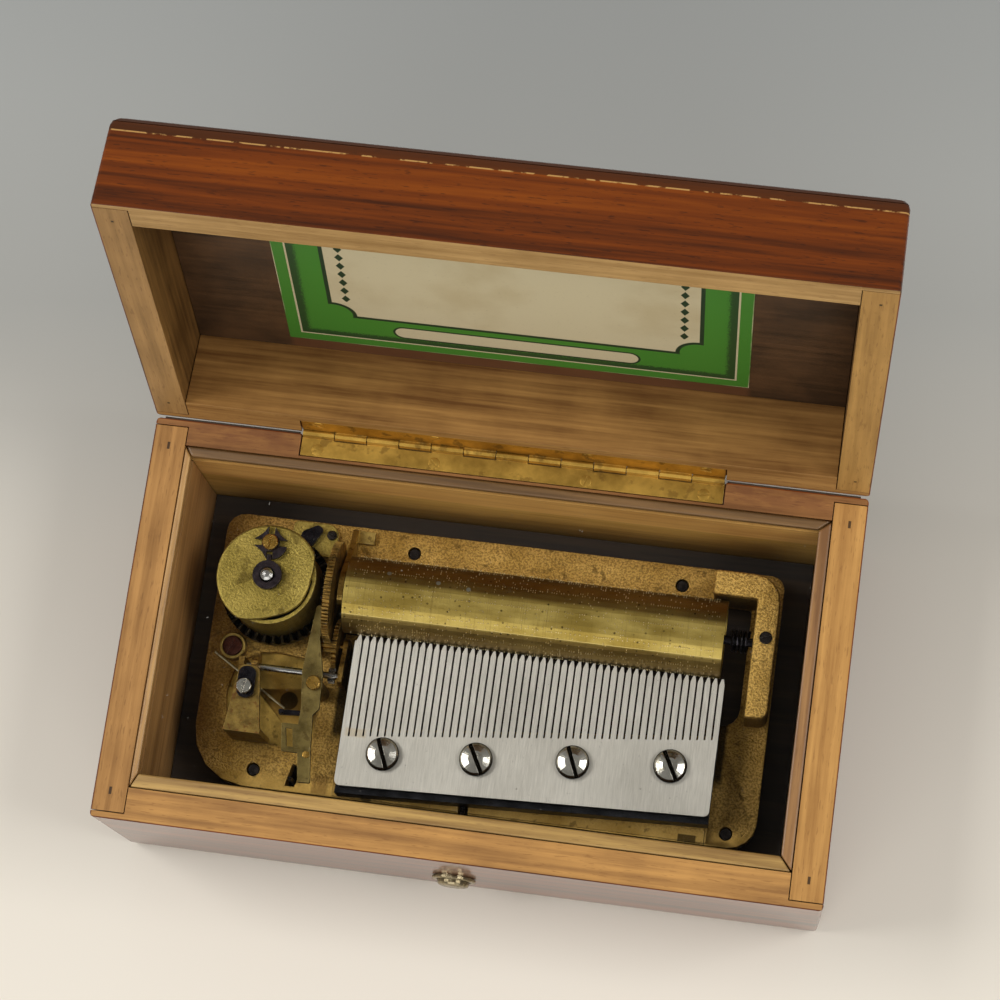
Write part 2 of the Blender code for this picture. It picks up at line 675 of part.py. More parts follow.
legs = [disc("leg", (x, y), LEG_RADIUS, FLOOR_TOP + CLEARANCE, PLATE_BOTTOM + MM, sides=16)
        for x, y in FOOT_SCREWS]
leg_set = merge_tools("legs", legs)
pocket = merge_tools("governor_pocket", [prism("pocket", rounded(from_axis(
    [(20.0, -32.9, 9.0), (40.5, -34.4, 1.5), (40.5, -14.1, 1.5), (20.0, -12.3, 9.0)])),
    POCKET_FLOOR, PLATE_TOP + OVERSHOOT)])
rib_left = RIB_LEFT / MM
rib_right = RIB_RIGHT / MM
rib = prism("right_rib", rounded(from_axis([
    (rib_left - 9.7, 9.1, 0), (rib_left - 0.1, 9.1, 0.5), (rib_left, -16.8, 0),
    (rib_right, -16.8, 2.0), (rib_right, 14.5, 6.0), (rib_left - 9.7, 14.5, 0)])),
    PLATE_TOP - MM, RIB_TOP, group=cutters)
bearing_hole = disc("bearing_hole", (AXIS_Y, AXIS_Z), ARBOR_RADIUS + CLEARANCE,
                    RIB_LEFT - MM, RIB_RIGHT + MM, lay=ALONG_X, sides=12, group=cutters)
lug = disc("left_lug", (20.0 * MM, AXIS_Y - 13.3 * MM), 3.1 * MM, PLATE_TOP - MM, 20.4 * MM,
           sides=20, group=cutters)
lever_post = disc("lever_post", (LEVER_X, LEVER_Y), 1.7 * MM, PLATE_TOP - 2.5 * MM,
                  LEVER_BOTTOM - CLEARANCE, sides=16, group=cutters)
lever_tap = disc("lever_tap", (LEVER_X, LEVER_Y), 1.0 * MM, 27 * MM, 33 * MM, sides=12,
                 group=cutters)
worm_post = block("worm_arbor_post", (22.9 * MM, WORM_ARBOR_Y - 1.7 * MM, POCKET_FLOOR - MM),
                  (24.2 * MM, WORM_ARBOR_Y + 1.7 * MM, 26.2 * MM), cutters)
train_post = block("train_arbor_post", (38.7 * MM, TRAIN_Y - 2.4 * MM, PLATE_TOP - MM),
                   (39.8 * MM, TRAIN_Y + 2.6 * MM, 24.6 * MM), cutters)
pivot_holes = merge_tools("pivot_holes", [
    disc("a", (WORM_ARBOR_Y, WORM_ARBOR_Z), PIVOT + GLUE_GAP, 22 * MM, 25 * MM,
         lay=ALONG_X, sides=10),
    disc("b", (TRAIN_Y, TRAIN_Z), PIVOT + GLUE_GAP, 38 * MM, 40.5 * MM, lay=ALONG_X, sides=10),
    disc("c", (WORM_X, WORM_Y), PIVOT + GLUE_GAP, 16 * MM, 18 * MM, sides=10)])
plate_holes = merge_tools("plate_holes", [
    *[prism("hole", outline, FLOOR_TOP - MM, PLATE_TOP + OVERSHOOT)
      for outline in foot_rings + comb_rings],
    disc("arbor_hole", (BARREL_X, BARREL_Y), BARREL_ARBOR + CLEARANCE, FLOOR_TOP,
         PLATE_TOP + OVERSHOOT, sides=16),
    block("rod_notch", (BUTTON_X - 1.1 * MM, PLATE_FRONT - MM, FLOOR_TOP),
          (BUTTON_X + 1.1 * MM, 19.8 * MM, PLATE_TOP + PAD_HEIGHT + MM))])
cut(bedplate, pocket)
join(bedplate, comb_pad, leg_set, rib, lug, lever_post, worm_post, train_post)
cut(bedplate, bearing_hole, lever_tap, pivot_holes, plate_holes)
finish(bedplate, CAST)

for index, (x, y) in enumerate(FOOT_SCREWS):
    head = FOOT_SCREW_RADIUS * 2.2
    profile = [(0, 4.4 * MM), (head, 4.4 * MM), (head, FLOOR_BOTTOM - CLEARANCE),
               (FOOT_SCREW_RADIUS, FLOOR_BOTTOM - CLEARANCE),
               (FOOT_SCREW_RADIUS, FOOT_SCREW_TOP), (0, FOOT_SCREW_TOP)]
    screw = turned(f"foot_screw_{index + 1}", profile, (x, y, 0), sides=12)
    slot = block(f"foot_slot_{index + 1}", (x - 4 * MM, y - 0.3 * MM, 3.8 * MM),
                 (x + 4 * MM, y + 0.3 * MM, 4.9 * MM), cutters)
    smooth(screw)
    cut(screw, slot)
    finish(screw, BLUED)

# Comb: one plate with slots; the underside of the teeth is ground thinner.
def slot_end(x):
    share = (x - COMB_LEFT) / (COMB_RIGHT - COMB_LEFT)
    return COMB_SLOT_END[0] + share * (COMB_SLOT_END[1] - COMB_SLOT_END[0])


comb_outline = rounded([(COMB_RIGHT / MM, COMB_FRONT[1] / MM, 1.2),
                        (COMB_RIGHT / MM, 60, 0), (COMB_LEFT / MM, 60, 0),
                        (COMB_LEFT / MM, COMB_FRONT[0] / MM, 1.2)])
comb_outline = [point for point in comb_outline if point[1] < COMB_SLOT_END[0]]
comb_middle = (COMB_LEFT + COMB_RIGHT) / 2
right_arc = [point for point in comb_outline if point[0] > comb_middle]
left_arc = [point for point in comb_outline if point[0] < comb_middle]
teeth_path = []
slots = [COMB_LEFT + FIRST_SLOT + index * TOOTH_PITCH for index in range(TEETH - 1)]
edges = [COMB_LEFT] + slots + [COMB_RIGHT]
for index in reversed(range(TEETH)):
    left = edges[index] + (SLOT_WIDTH / 2 if index else 0)
    right = edges[index + 1] - (SLOT_WIDTH / 2 if index < TEETH - 1 else 0)
    tip = right - 0.55 * TOOTH_PITCH / 2 - 0.05 * MM
    if index < TEETH - 1:
        teeth_path.append((right, slot_end(right)))
    teeth_path += [(right, COMB_SHOULDER), (tip + TIP_WIDTH / 2, COMB_TIP),
                   (tip - TIP_WIDTH / 2, COMB_TIP),
                   (max(left, right - TOOTH_PITCH + SLOT_WIDTH), COMB_SHOULDER)]
    if index:
        teeth_path.append((left, slot_end(left)))
left_turn = sorted(left_arc, key=lambda point: -point[1] + point[0])
right_turn = sorted(right_arc, key=lambda point: point[1] + point[0])
comb = prism("comb", right_turn + teeth_path + [(COMB_LEFT, COMB_SHOULDER)] + left_turn,
             COMB_TOP - COMB_THICKNESS, COMB_TOP)
thinning = prism("tooth_thinning", [
    (COMB_LEFT - OVERSHOOT, COMB_SLOT_END[0] + MM), (COMB_RIGHT + OVERSHOOT, COMB_SLOT_END[1] + MM),
    (COMB_RIGHT + OVERSHOOT, COMB_TIP + OVERSHOOT), (COMB_LEFT - OVERSHOOT, COMB_TIP + OVERSHOOT)],
    COMB_TOP - COMB_THICKNESS - MM, COMB_TOP - TOOTH_THICKNESS, group=cutters)
comb_holes = merge_tools("comb_holes", [
    disc("hole", (x, y), COMB_SCREW_SHANK + CLEARANCE, PLATE_TOP,
         COMB_TOP + OVERSHOOT, sides=12) for x, y in COMB_SCREWS])
cut(comb, thinning, comb_holes)
finish(comb, STEEL)

base_bottom = PLATE_TOP + PAD_HEIGHT + CLEARANCE
base_top = COMB_TOP - COMB_THICKNESS - CLEARANCE
comb_base = prism("comb_base", [
    (COMB_LEFT, COMB_FRONT[0] - BASE_PROUD), (COMB_RIGHT, COMB_FRONT[1] - BASE_PROUD),
    (COMB_RIGHT, COMB_SLOT_END[1]), (COMB_LEFT, COMB_SLOT_END[0])], base_bottom, base_top)
cut(comb_base, comb_holes)
finish(comb_base, BLUED)

for index, (x, y) in enumerate(COMB_SCREWS):
    seat = COMB_TOP + CLEARANCE
    profile = [(0, PLATE_BOTTOM + MM), (COMB_SCREW_SHANK, PLATE_BOTTOM + MM),
               (COMB_SCREW_SHANK, seat), (COMB_SCREW_HEAD, seat),
               (COMB_SCREW_HEAD, seat + 0.8 * MM), (COMB_SCREW_HEAD * 0.85, seat + 1.4 * MM),
               (COMB_SCREW_HEAD * 0.45, seat + 1.85 * MM), (0, seat + 2.0 * MM)]
    screw = turned(f"comb_screw_{index + 1}", profile, (x, y, 0), sides=24)
    slot = block(f"comb_slot_{index + 1}", (-5 * MM, -0.45 * MM, seat + 0.9 * MM),
                 (5 * MM, 0.45 * MM, seat + 3 * MM), cutters)
    slot.data.transform(Matrix.Rotation(math.radians(112 + 6 * (index % 2)), 4, "Z"))
    slot.data.transform(Matrix.Translation((x, y, 0)))
    smooth(screw)
    cut(screw, slot)
    finish(screw, STEEL)

# Cylinder, arbor, spring and great wheel.
axis_point = (CASE_WIDTH / 2, AXIS_Y, AXIS_Z)
rim = CYLINDER_RADIUS - 0.8 * MM
recess = 0.8 * MM
bore = ARBOR_RADIUS + CLEARANCE
cylinder = turned("cylinder", [
    (bore, CYLINDER_LEFT + recess), (rim, CYLINDER_LEFT + recess), (rim, CYLINDER_LEFT),
    (CYLINDER_RADIUS, CYLINDER_LEFT), (CYLINDER_RADIUS, CYLINDER_RIGHT),
    (rim, CYLINDER_RIGHT), (rim, CYLINDER_RIGHT - recess), (bore, CYLINDER_RIGHT - recess)],
    (0, AXIS_Y, AXIS_Z), lay=ALONG_X, sides=44)
finish(smooth(cylinder), BRASS, axis_point)

great_bore = ARBOR_RADIUS + GLUE_GAP
arbor = disc("cylinder_arbor", (AXIS_Y, AXIS_Z), ARBOR_RADIUS, DRIVE_LEFT + 0.6 * MM, ARBOR_RIGHT,
             lay=ALONG_X, sides=24)
down = -math.pi / 2
drive_pinion = prism("drive_pinion_teeth",
                     gear(DRIVE_TEETH, DRIVE_PITCH, (AXIS_Y, AXIS_Z),
                          down, addendum=0.7, dedendum=0.9),
                     DRIVE_LEFT, GREAT_LEFT - CLEARANCE, group=cutters, lay=ALONG_X)
join(arbor, drive_pinion)
finish(arbor, STEEL, axis_point)

towards_train = math.atan2(TRAIN_Z - AXIS_Z, TRAIN_Y - AXIS_Y)
great_wheel = prism("great_wheel",
                    gear(GREAT_TEETH, GREAT_PITCH, (AXIS_Y, AXIS_Z), towards_train),
                    GREAT_LEFT, GREAT_RIGHT, holes=[ring((AXIS_Y, AXIS_Z), great_bore)],
                    lay=ALONG_X)
finish(great_wheel, BRASS, axis_point)

coil_points = []
points_per_coil = 9
for step in range(SPRING_COILS * points_per_coil + 1):
    share = step / (SPRING_COILS * points_per_coil)
    angle = 2 * math.pi * step / points_per_coil
    coil_points.append((SPRING_LEFT + SPRING_WIRE
                        + share * (SPRING_RIGHT - SPRING_LEFT - 2 * SPRING_WIRE),
                        AXIS_Y + SPRING_RADIUS * math.cos(angle),
                        AXIS_Z + SPRING_RADIUS * math.sin(angle)))
arbor_spring = rod("arbor_spring", coil_points, SPRING_WIRE, sides=1)
finish(smooth(arbor_spring, 60), STEEL, axis_point)

# Train arbors between the great wheel and the governor.
train_point = (GREAT_LEFT, TRAIN_Y, TRAIN_Z)
back_phase = towards_train + math.pi + math.pi / TRAIN_PINION_TEETH
train_arbor = disc("train_arbor", (TRAIN_Y, TRAIN_Z), PIVOT, 38.8 * MM, 45.9 * MM,
                   lay=ALONG_X, sides=16)
train_pinion = prism("train_pinion", gear(TRAIN_PINION_TEETH, TRAIN_PINION_PITCH,
                                          (TRAIN_Y, TRAIN_Z), back_phase),
                     GREAT_LEFT - 0.5 * MM, TRAIN_WHEEL_LEFT + 0.3 * MM, group=cutters,
                     lay=ALONG_X)
arbor_gap = math.hypot(WORM_ARBOR_Y - TRAIN_Y, WORM_ARBOR_Z - TRAIN_Z)
wheel_pitch = arbor_gap * TRAIN_WHEEL_TEETH / (TRAIN_WHEEL_TEETH + WORM_PINION_TEETH)
pinion_pitch = arbor_gap - wheel_pitch
towards_worm = math.atan2(WORM_ARBOR_Z - TRAIN_Z, WORM_ARBOR_Y - TRAIN_Y)
train_wheel = prism("train_wheel", gear(TRAIN_WHEEL_TEETH, wheel_pitch, (TRAIN_Y, TRAIN_Z),
                                        towards_worm),
                    TRAIN_WHEEL_LEFT, TRAIN_WHEEL_RIGHT, group=cutters, lay=ALONG_X)
join(train_arbor, train_pinion, train_wheel)
finish(train_arbor, BRASS, train_point)

worm_arbor_point = (GREAT_LEFT, WORM_ARBOR_Y, WORM_ARBOR_Z)
shaft_radius = 0.75 * MM
governor_arbor = turned("governor_arbor", [
    (0, 23.1 * MM), (PIVOT, 23.1 * MM), (PIVOT, 24.5 * MM), (shaft_radius, 24.5 * MM),
    (shaft_radius, TRAIN_WHEEL_RIGHT + 0.6 * MM), (PIVOT, TRAIN_WHEEL_RIGHT + 0.6 * MM),
    (PIVOT, 45.9 * MM), (0, 45.9 * MM)], (0, WORM_ARBOR_Y, WORM_ARBOR_Z), lay=ALONG_X, sides=20)
smooth(governor_arbor)
worm_pinion = prism("worm_pinion", gear(WORM_PINION_TEETH, pinion_pitch,
                                        (WORM_ARBOR_Y, WORM_ARBOR_Z),
                                        towards_worm + math.pi + math.pi / WORM_PINION_TEETH),
                    TRAIN_WHEEL_LEFT - 0.2 * MM, TRAIN_WHEEL_RIGHT + 0.2 * MM, group=cutters,
                    lay=ALONG_X)
join(governor_arbor, worm_pinion)
finish(governor_arbor, STEEL, worm_arbor_point)
worm_wheel = prism("worm_wheel", gear(WORM_WHEEL_TEETH, WORM_WHEEL_PITCH,
                                      (WORM_ARBOR_Y, WORM_ARBOR_Z), math.pi,
                                      addendum=0.7, dedendum=1.0),
                   WORM_X - 0.6 * MM, WORM_X + 0.6 * MM,
                   holes=[ring((WORM_ARBOR_Y, WORM_ARBOR_Z), shaft_radius + GLUE_GAP, 16)],
                   lay=ALONG_X)
finish(worm_wheel, BLUED, worm_arbor_point)

fly_point = (WORM_X, WORM_Y, FLY_Z)
thread_step = 2 * math.pi * WORM_WHEEL_PITCH / WORM_WHEEL_TEETH
worm_core = 0.52 * MM
thread_radius = 0.72 * MM
thread_half = 0.24 * MM
profile = [(0, POCKET_FLOOR - 0.6 * MM), (PIVOT, POCKET_FLOOR - 0.6 * MM),
           (PIVOT, POCKET_FLOOR + CLEARANCE), (worm_core, POCKET_FLOOR + CLEARANCE),
           (worm_core, FLY_Z - 0.9 * MM), (1.1 * MM, FLY_Z - 0.9 * MM),
           (1.1 * MM, FLY_Z + 0.6 * MM), (PIVOT, FLY_Z + 0.6 * MM),
           (PIVOT, FLY_Z + 2.4 * MM), (0, FLY_Z + 2.4 * MM)]
fly = turned("worm_and_fly", profile, (WORM_X, WORM_Y, 0), sides=12)
# The thread passes halfway between two teeth on the side that faces the wheel.
thread_path = []
steps_per_turn = 9
for step in range(-21, 18):
    angle = math.pi / 2 + 2 * math.pi * step / steps_per_turn
    thread_path.append((WORM_X + thread_radius * math.cos(angle),
                        WORM_Y + thread_radius * math.sin(angle),
                        WORM_ARBOR_Z + (0.5 + step / steps_per_turn) * thread_step))
thread = rod("worm_thread", thread_path, thread_half, group=cutters, sides=0)
half = FLY_LENGTH / 2
reach = Vector((math.cos(FLY_ANGLE), math.sin(FLY_ANGLE), 0)) * half
middle = Vector(fly_point)
wire = rod("fly_wire", [middle - reach, middle - reach * 0.3, middle + reach * 0.3,
                        middle + reach], FLY_WIRE, group=cutters)
smooth(fly)
join(fly, thread, wire)
finish(fly, STEEL, fly_point)

# Governor cock: a bent strip over the worm, its front leg clear of the wire's circle.
cock_bottom = FLY_Z + 1.3 * MM
cock_top = cock_bottom + 1.2 * MM
leg_back = WORM_Y - half - 0.6 * MM
leg_front = leg_back - 1.2 * MM
arm_end = (WORM_ARBOR_Y - 1.1 * MM) / MM
cock = prism("governor_cock", rounded([
    (23.0, leg_front / MM, 0), (31.0, leg_front / MM, 0), (28.9, arm_end, 1.6),
    (24.6, arm_end, 1.6)]), cock_bottom, cock_top)
cock_leg = block("cock_leg", (23.0 * MM, leg_front, PLATE_TOP + CLEARANCE),
                 (31.0 * MM, leg_back, cock_top - 0.01 * MM), cutters)
cock_holes = merge_tools("cock_holes", [
    disc("pivot", (WORM_X, WORM_Y), PIVOT + GLUE_GAP, cock_bottom - MM, cock_top + MM, sides=16),
    disc("screw", COCK_SCREW, 1.0 * MM, cock_bottom - MM, cock_top + MM, sides=16)])
join(cock, cock_leg)
cut(cock, cock_holes)
finish(cock, BRASS)
cap_bottom = cock_top + GLUE_GAP
cap_plate = prism("cap_plate", rounded(from_axis([
    (24.7, -26.4, 1.8), (28.5, -26.4, 1.8), (28.5, -19.4, 1.8), (24.6, -19.4, 1.8)])),
    cap_bottom, cap_bottom + 0.6 * MM, holes=[ring(COCK_SCREW, 1.0 * MM, 16)])
finish(cap_plate, BLUED)


def small_screw(name, place, head, height, seat, end, look, turn):
    """Cheese head screw with a slot turned by an angle in degrees."""
    shank = 0.75 * MM
    profile = [(0, end), (shank, end), (shank, seat), (head, seat), (head, seat + height * 0.75),
               (head * 0.88, seat + height), (0, seat + height)]
    screw = turned(name, profile, (*place, 0), sides=16)
    slot = block(name + "_slot", (-2 * head, -0.2 * MM, seat + height * 0.5),
                 (2 * head, 0.2 * MM, seat + height * 2), cutters)
    slot.data.transform(Matrix.Rotation(math.radians(turn), 4, "Z"))
    slot.data.transform(Matrix.Translation((*place, 0)))
    smooth(screw)
    cut(screw, slot)
    return finish(screw, look)


small_screw("cock_screw", COCK_SCREW, 1.75 * MM, 1.2 * MM,
            cap_bottom + 0.6 * MM + GLUE_GAP, cock_bottom + 0.2 * MM, STEEL, 80)

# Bearings for the left end of the cylinder arbor and the right end of the train arbors.
arbor_bracket = prism("arbor_bracket", rounded(from_axis([
    (-2.9, 24.6, 3.0), (3.1, 24.6, 1.0), (10.1, 18.8, 0), (16.1, 18.8, 0), (16.1, 21.0, 1.0),
    (11.2, 23.5, 2.0), (3.3, 31.0, 3.0), (-2.9, 31.0, 3.0)], depth=0)),
    GREAT_RIGHT + 0.4 * MM, GREAT_RIGHT + 1.6 * MM,
    holes=[ring((AXIS_Y, AXIS_Z), ARBOR_RADIUS + CLEARANCE)], lay=ALONG_X)
bracket_foot = block("bracket_foot", (43.5 * MM, AXIS_Y + 13.3 * MM, PLATE_TOP + CLEARANCE),
                     (47.8 * MM, AXIS_Y + 16.09 * MM, PLATE_TOP + 1.3 * MM), cutters)
join(arbor_bracket, bracket_foot)
finish(arbor_bracket, BRASS)
train_bracket = prism("train_bracket", rounded(from_axis([
    (-19.7, 18.8, 0), (-9.3, 18.8, 0), (-9.3, 24.4, 1.5), (-12.7, 24.9, 1.5), (-16.1, 26.4, 1.5),
    (-19.7, 26.4, 1.5)], depth=0)), TRAIN_WHEEL_RIGHT + MM, TRAIN_WHEEL_RIGHT + 2 * MM,
    holes=[ring((TRAIN_Y, TRAIN_Z), PIVOT + GLUE_GAP, 16),
           ring((WORM_ARBOR_Y, WORM_ARBOR_Z), PIVOT + GLUE_GAP, 16)], lay=ALONG_X)
finish(train_bracket, BRASS)

# Spring barrel: drum, crown wheel, cover, mainspring, arbor and stop work.
barrel_point = (BARREL_X, BARREL_Y, DRUM_BOTTOM)
inside = DRUM_RADIUS - DRUM_WALL
arbor_bore = BARREL_ARBOR + CLEARANCE
drum = turned("barrel_drum", [
    (arbor_bore, DRUM_BOTTOM), (DRUM_RADIUS, DRUM_BOTTOM), (DRUM_RADIUS, DRUM_TOP),
    (inside, DRUM_TOP), (inside, DRUM_BOTTOM + DRUM_WALL), (arbor_bore, DRUM_BOTTOM + DRUM_WALL)],
    (BARREL_X, BARREL_Y, 0), sides=40)
finish(smooth(drum), BRASS, barrel_point)

crown_pitch_z = AXIS_Z - DRIVE_PITCH
crown_root = crown_pitch_z - 1.2 * MM
crown_tip = crown_pitch_z + 0.42 * MM
crown = bmesh.new()
crown_inner = DRUM_RADIUS + GLUE_GAP
verts = [crown.verts.new((radius, 0, height)) for radius, height in
         ((crown_inner, DRUM_BOTTOM), (CROWN_OUTER, DRUM_BOTTOM),
          (CROWN_OUTER, crown_root), (crown_inner, crown_root))]
loop = [crown.edges.new(pair) for pair in zip(verts, verts[1:] + verts[:1])]
sections = 3 * CROWN_TEETH
bmesh.ops.spin(crown, geom=verts + loop, cent=(0, 0, 0), axis=(0, 0, 1),
               angle=2 * math.pi, steps=sections, use_merge=True)
for vert in crown.verts:
    angle = math.atan2(vert.co.y, vert.co.x)
    section = round(angle * sections / (2 * math.pi))
    tooth, part = divmod(section, 3)
    share = (0.0, 0.38, 0.62)[part]
    turn = 2 * math.pi * (tooth + share) / CROWN_TEETH
    radius = math.hypot(vert.co.x, vert.co.y)
    if vert.co.z > DRUM_BOTTOM + 0.5 * MM and part:
        vert.co.z = crown_tip
    vert.co.x = radius * math.cos(turn)
    vert.co.y = radius * math.sin(turn)
crown_wheel = from_bmesh("crown_wheel", crown, parts)
crown_wheel.data.transform(Matrix.Translation((BARREL_X, BARREL_Y, 0)))
finish(crown_wheel, BLUED, barrel_point)

cover_bottom = DRUM_TOP + CLEARANCE
cover_top = cover_bottom + COVER_THICKNESS
cover_flat = ((-118.0, 11.3), (-108.0, 10.6), (-95.0, 9.7), (-75.0, 9.0), (-55.0, 9.15),
              (-35.0, 9.45), (-16.0, 9.3), (2.0, 9.4), (20.0, 10.3), (32.6, 11.2))


def cover_radius(degrees):
    """Radius of the cover's edge; its right front side is flattened."""
    if degrees <= cover_flat[0][0] or degrees >= cover_flat[-1][0]:
        return COVER_RADIUS
    for (low, first), (high, last) in zip(cover_flat, cover_flat[1:]):
        if degrees <= high:
            share = (degrees - low) / (high - low)
            return (first + share * (last - first)) * MM
    return COVER_RADIUS


cover_angles = [-180 + 6 * k for k in range(60)]
cover_outline = [(BARREL_X + cover_radius(a) * math.cos(math.radians(a)),
                  BARREL_Y + cover_radius(a) * math.sin(math.radians(a))) for a in cover_angles]
cross_x = BARREL_X + CROSS_DISTANCE * math.cos(CROSS_ANGLE)
cross_y = BARREL_Y + CROSS_DISTANCE * math.sin(CROSS_ANGLE)
cover = prism("barrel_cover", cover_outline, cover_bottom, cover_top,
              holes=[ring((BARREL_X, BARREL_Y), arbor_bore, 24),
                     ring((cross_x, cross_y), 0.95 * MM, 16)])
shape = bmesh.new()
shape.from_mesh(cover.data)
top_edges = [edge for edge in shape.edges
             if all(vert.co.z > cover_top - 0.1 * MM
                    and math.hypot(vert.co.x - BARREL_X, vert.co.y - BARREL_Y) > 8.8 * MM
                    for vert in edge.verts) and edge.calc_face_angle() > 1]
bmesh.ops.bevel(shape, geom=top_edges, offset=0.45 * MM, segments=2,
                affect="EDGES", profile=0.5, material=-1)
shape.to_mesh(cover.data)
shape.free()
finish(smooth(cover), BRASS, barrel_point)

spiral = []
turns = 4
steps_per_round = 12
spring_inner = 4.2 * MM
spring_outer = inside - 0.5 * MM
spring_steps = turns * steps_per_round
ribbon = 0.35 * MM
for offset, order in ((0, range(spring_steps + 1)), (ribbon, reversed(range(spring_steps + 1)))):
    for step in order:
        angle = 2 * math.pi * step / steps_per_round
        radius = spring_inner + (spring_outer - spring_inner) * step / spring_steps + offset - ribbon
        spiral.append((BARREL_X + radius * math.cos(angle), BARREL_Y + radius * math.sin(angle)))
mainspring = prism("mainspring", spiral, DRUM_BOTTOM + DRUM_WALL + 0.5 * MM, DRUM_TOP - 0.5 * MM)
finish(mainspring, STEEL, barrel_point)

stopwork_bottom = cover_top + CLEARANCE
stopwork_top = stopwork_bottom + STOPWORK_THICKNESS
barrel_arbor = turned("barrel_arbor", [
    (0, KEY_BOTTOM + 1.2 * MM), (BARREL_ARBOR, KEY_BOTTOM + 1.2 * MM),
    (BARREL_ARBOR, stopwork_top), (BARREL_ARBOR * 0.92, stopwork_top + 0.6 * MM),
    (BARREL_ARBOR * 0.5, stopwork_top + 1.0 * MM), (0, stopwork_top + 1.1 * MM)],
    (BARREL_X, BARREL_Y, 0), sides=24)
ratchet_outline = []
for tooth in range(RATCHET_TEETH):
    for share, radius in ((0.0, RATCHET_RADIUS), (0.12, RATCHET_RADIUS - MM)):
        angle = 2 * math.pi * (tooth + share) / RATCHET_TEETH
        ratchet_outline.append((BARREL_X + radius * math.cos(angle),
                                BARREL_Y + radius * math.sin(angle)))
ratchet = prism("ratchet", ratchet_outline, RATCHET_BOTTOM, RATCHET_TOP, group=cutters)
smooth(barrel_arbor)
join(barrel_arbor, ratchet)
finish(barrel_arbor, BLUED, barrel_point)

stop_outline = []
finger_half = math.asin(FINGER_WIDTH / 2 / FINGER_DISC)
for step in range(25):
    angle = CROSS_ANGLE + finger_half + (2 * math.pi - 2 * finger_half) * step / 24
    stop_outline.append((BARREL_X + FINGER_DISC * math.cos(angle),
                         BARREL_Y + FINGER_DISC * math.sin(angle)))
for side in (-1, 1):
    corner = Vector((FINGER_REACH, side * FINGER_WIDTH / 2, 0))
    corner.rotate(Matrix.Rotation(CROSS_ANGLE, 3, "Z"))
    stop_outline.append((BARREL_X + corner.x, BARREL_Y + corner.y))
stop_finger = prism("stop_finger", stop_outline, stopwork_bottom, stopwork_top,
                    holes=[ring((BARREL_X, BARREL_Y), BARREL_ARBOR + GLUE_GAP, 24)])
finish(stop_finger, BLUED, barrel_point)

cross_outline = []
slot_half = CROSS_SLOT / 2
horn = math.asin(slot_half / CROSS_RADIUS)
for arm in range(4):
    slot_angle = CROSS_ANGLE + math.pi + arm * math.pi / 2
    across = Vector((-math.sin(slot_angle), math.cos(slot_angle)))
    along = Vector((math.cos(slot_angle), math.sin(slot_angle)))
    centre = Vector((cross_x, cross_y))
    for depth, side in ((CROSS_RADIUS * math.cos(horn), -1), (1.9 * MM, -1), (1.9 * MM, 1)):
        cross_outline.append(tuple(centre + along * depth + across * side * slot_half))
    arc = math.pi / 2 - 2 * horn
    for step in range(9):
        turn = step / 8
        angle = slot_angle + horn + arc * turn
        chord = math.cos(arc / 2) / math.cos(arc * (turn - 0.5))
        radius = CROSS_RADIUS * (chord - 0.09 * math.sin(math.pi * turn))
        if arm == 0:
            radius = CROSS_RADIUS * (1 + 0.03 * math.sin(math.pi * turn))
        cross_outline.append(tuple(centre + Vector((math.cos(angle), math.sin(angle))) * radius))
cross_outline = [point for index, point in enumerate(cross_outline)
                 if (Vector(point) - Vector(cross_outline[index - 1])).length > 0.02 * MM]
cross = prism("geneva_cross", cross_outline, stopwork_bottom, stopwork_top,
              holes=[ring((cross_x, cross_y), 0.95 * MM, 16)])
finish(cross, BLUED, barrel_point)
cross_screw = small_screw("geneva_screw", (cross_x, cross_y), 1.75 * MM, 0.9 * MM,
                          stopwork_top + GLUE_GAP, cover_bottom + 0.1 * MM, BRASS, 84)
cross_screw.data.transform(Matrix.Translation(-Vector(barrel_point)))
cross_screw.location = barrel_point

# Click and the plate it stands on.
plate_bottom = PLATE_TOP + CLEARANCE
click_plate = prism("click_plate", rounded(from_axis([
    (29.3, 9.3, 1.0), (39.6, 9.3, 1.5), (39.6, 16.8, 2.8), (29.3, 16.8, 1.0)])),
    plate_bottom, plate_bottom + 0.8 * MM, holes=[ring(CLICK_PLACE, 0.9 * MM, 16)])
finish(click_plate, BRASS)
click_point = (*CLICK_PLACE, RATCHET_BOTTOM)
click = prism("click", rounded(from_axis([
    (29.95, 7.8, 0.2), (31.4, 8.0, 0.4), (34.6, 11.9, 1.5), (36.4, 15.3, 0.9),
    (34.9, 16.1, 0.9), (31.6, 14.3, 1.5)])), RATCHET_BOTTOM, RATCHET_TOP)
click_stud = turned("click_stud", [
    (0, plate_bottom + 0.1 * MM), (0.6 * MM, plate_bottom + 0.1 * MM),
    (0.6 * MM, RATCHET_TOP - 0.2 * MM), (1.1 * MM, RATCHET_TOP - 0.2 * MM),
    (1.1 * MM, RATCHET_TOP + 0.25 * MM), (0, RATCHET_TOP + 0.25 * MM)],
    (*CLICK_PLACE, 0), sides=12, group=cutters)
join(click, click_stud)
finish(click, BLUED, click_point)

# Stop lever with its frame, screw and detent.
lever_point = (LEVER_X, LEVER_Y, LEVER_BOTTOM)
lever_front = PLATE_FRONT + 0.6 * MM


def lever_side(corners):
    """Corners whose depth is a share from the lever's front end, 0, to its pivot, 1."""
    return [(x, (lever_front + share * (LEVER_Y - lever_front)) / MM, *rest)
            for x, share, *rest in corners]


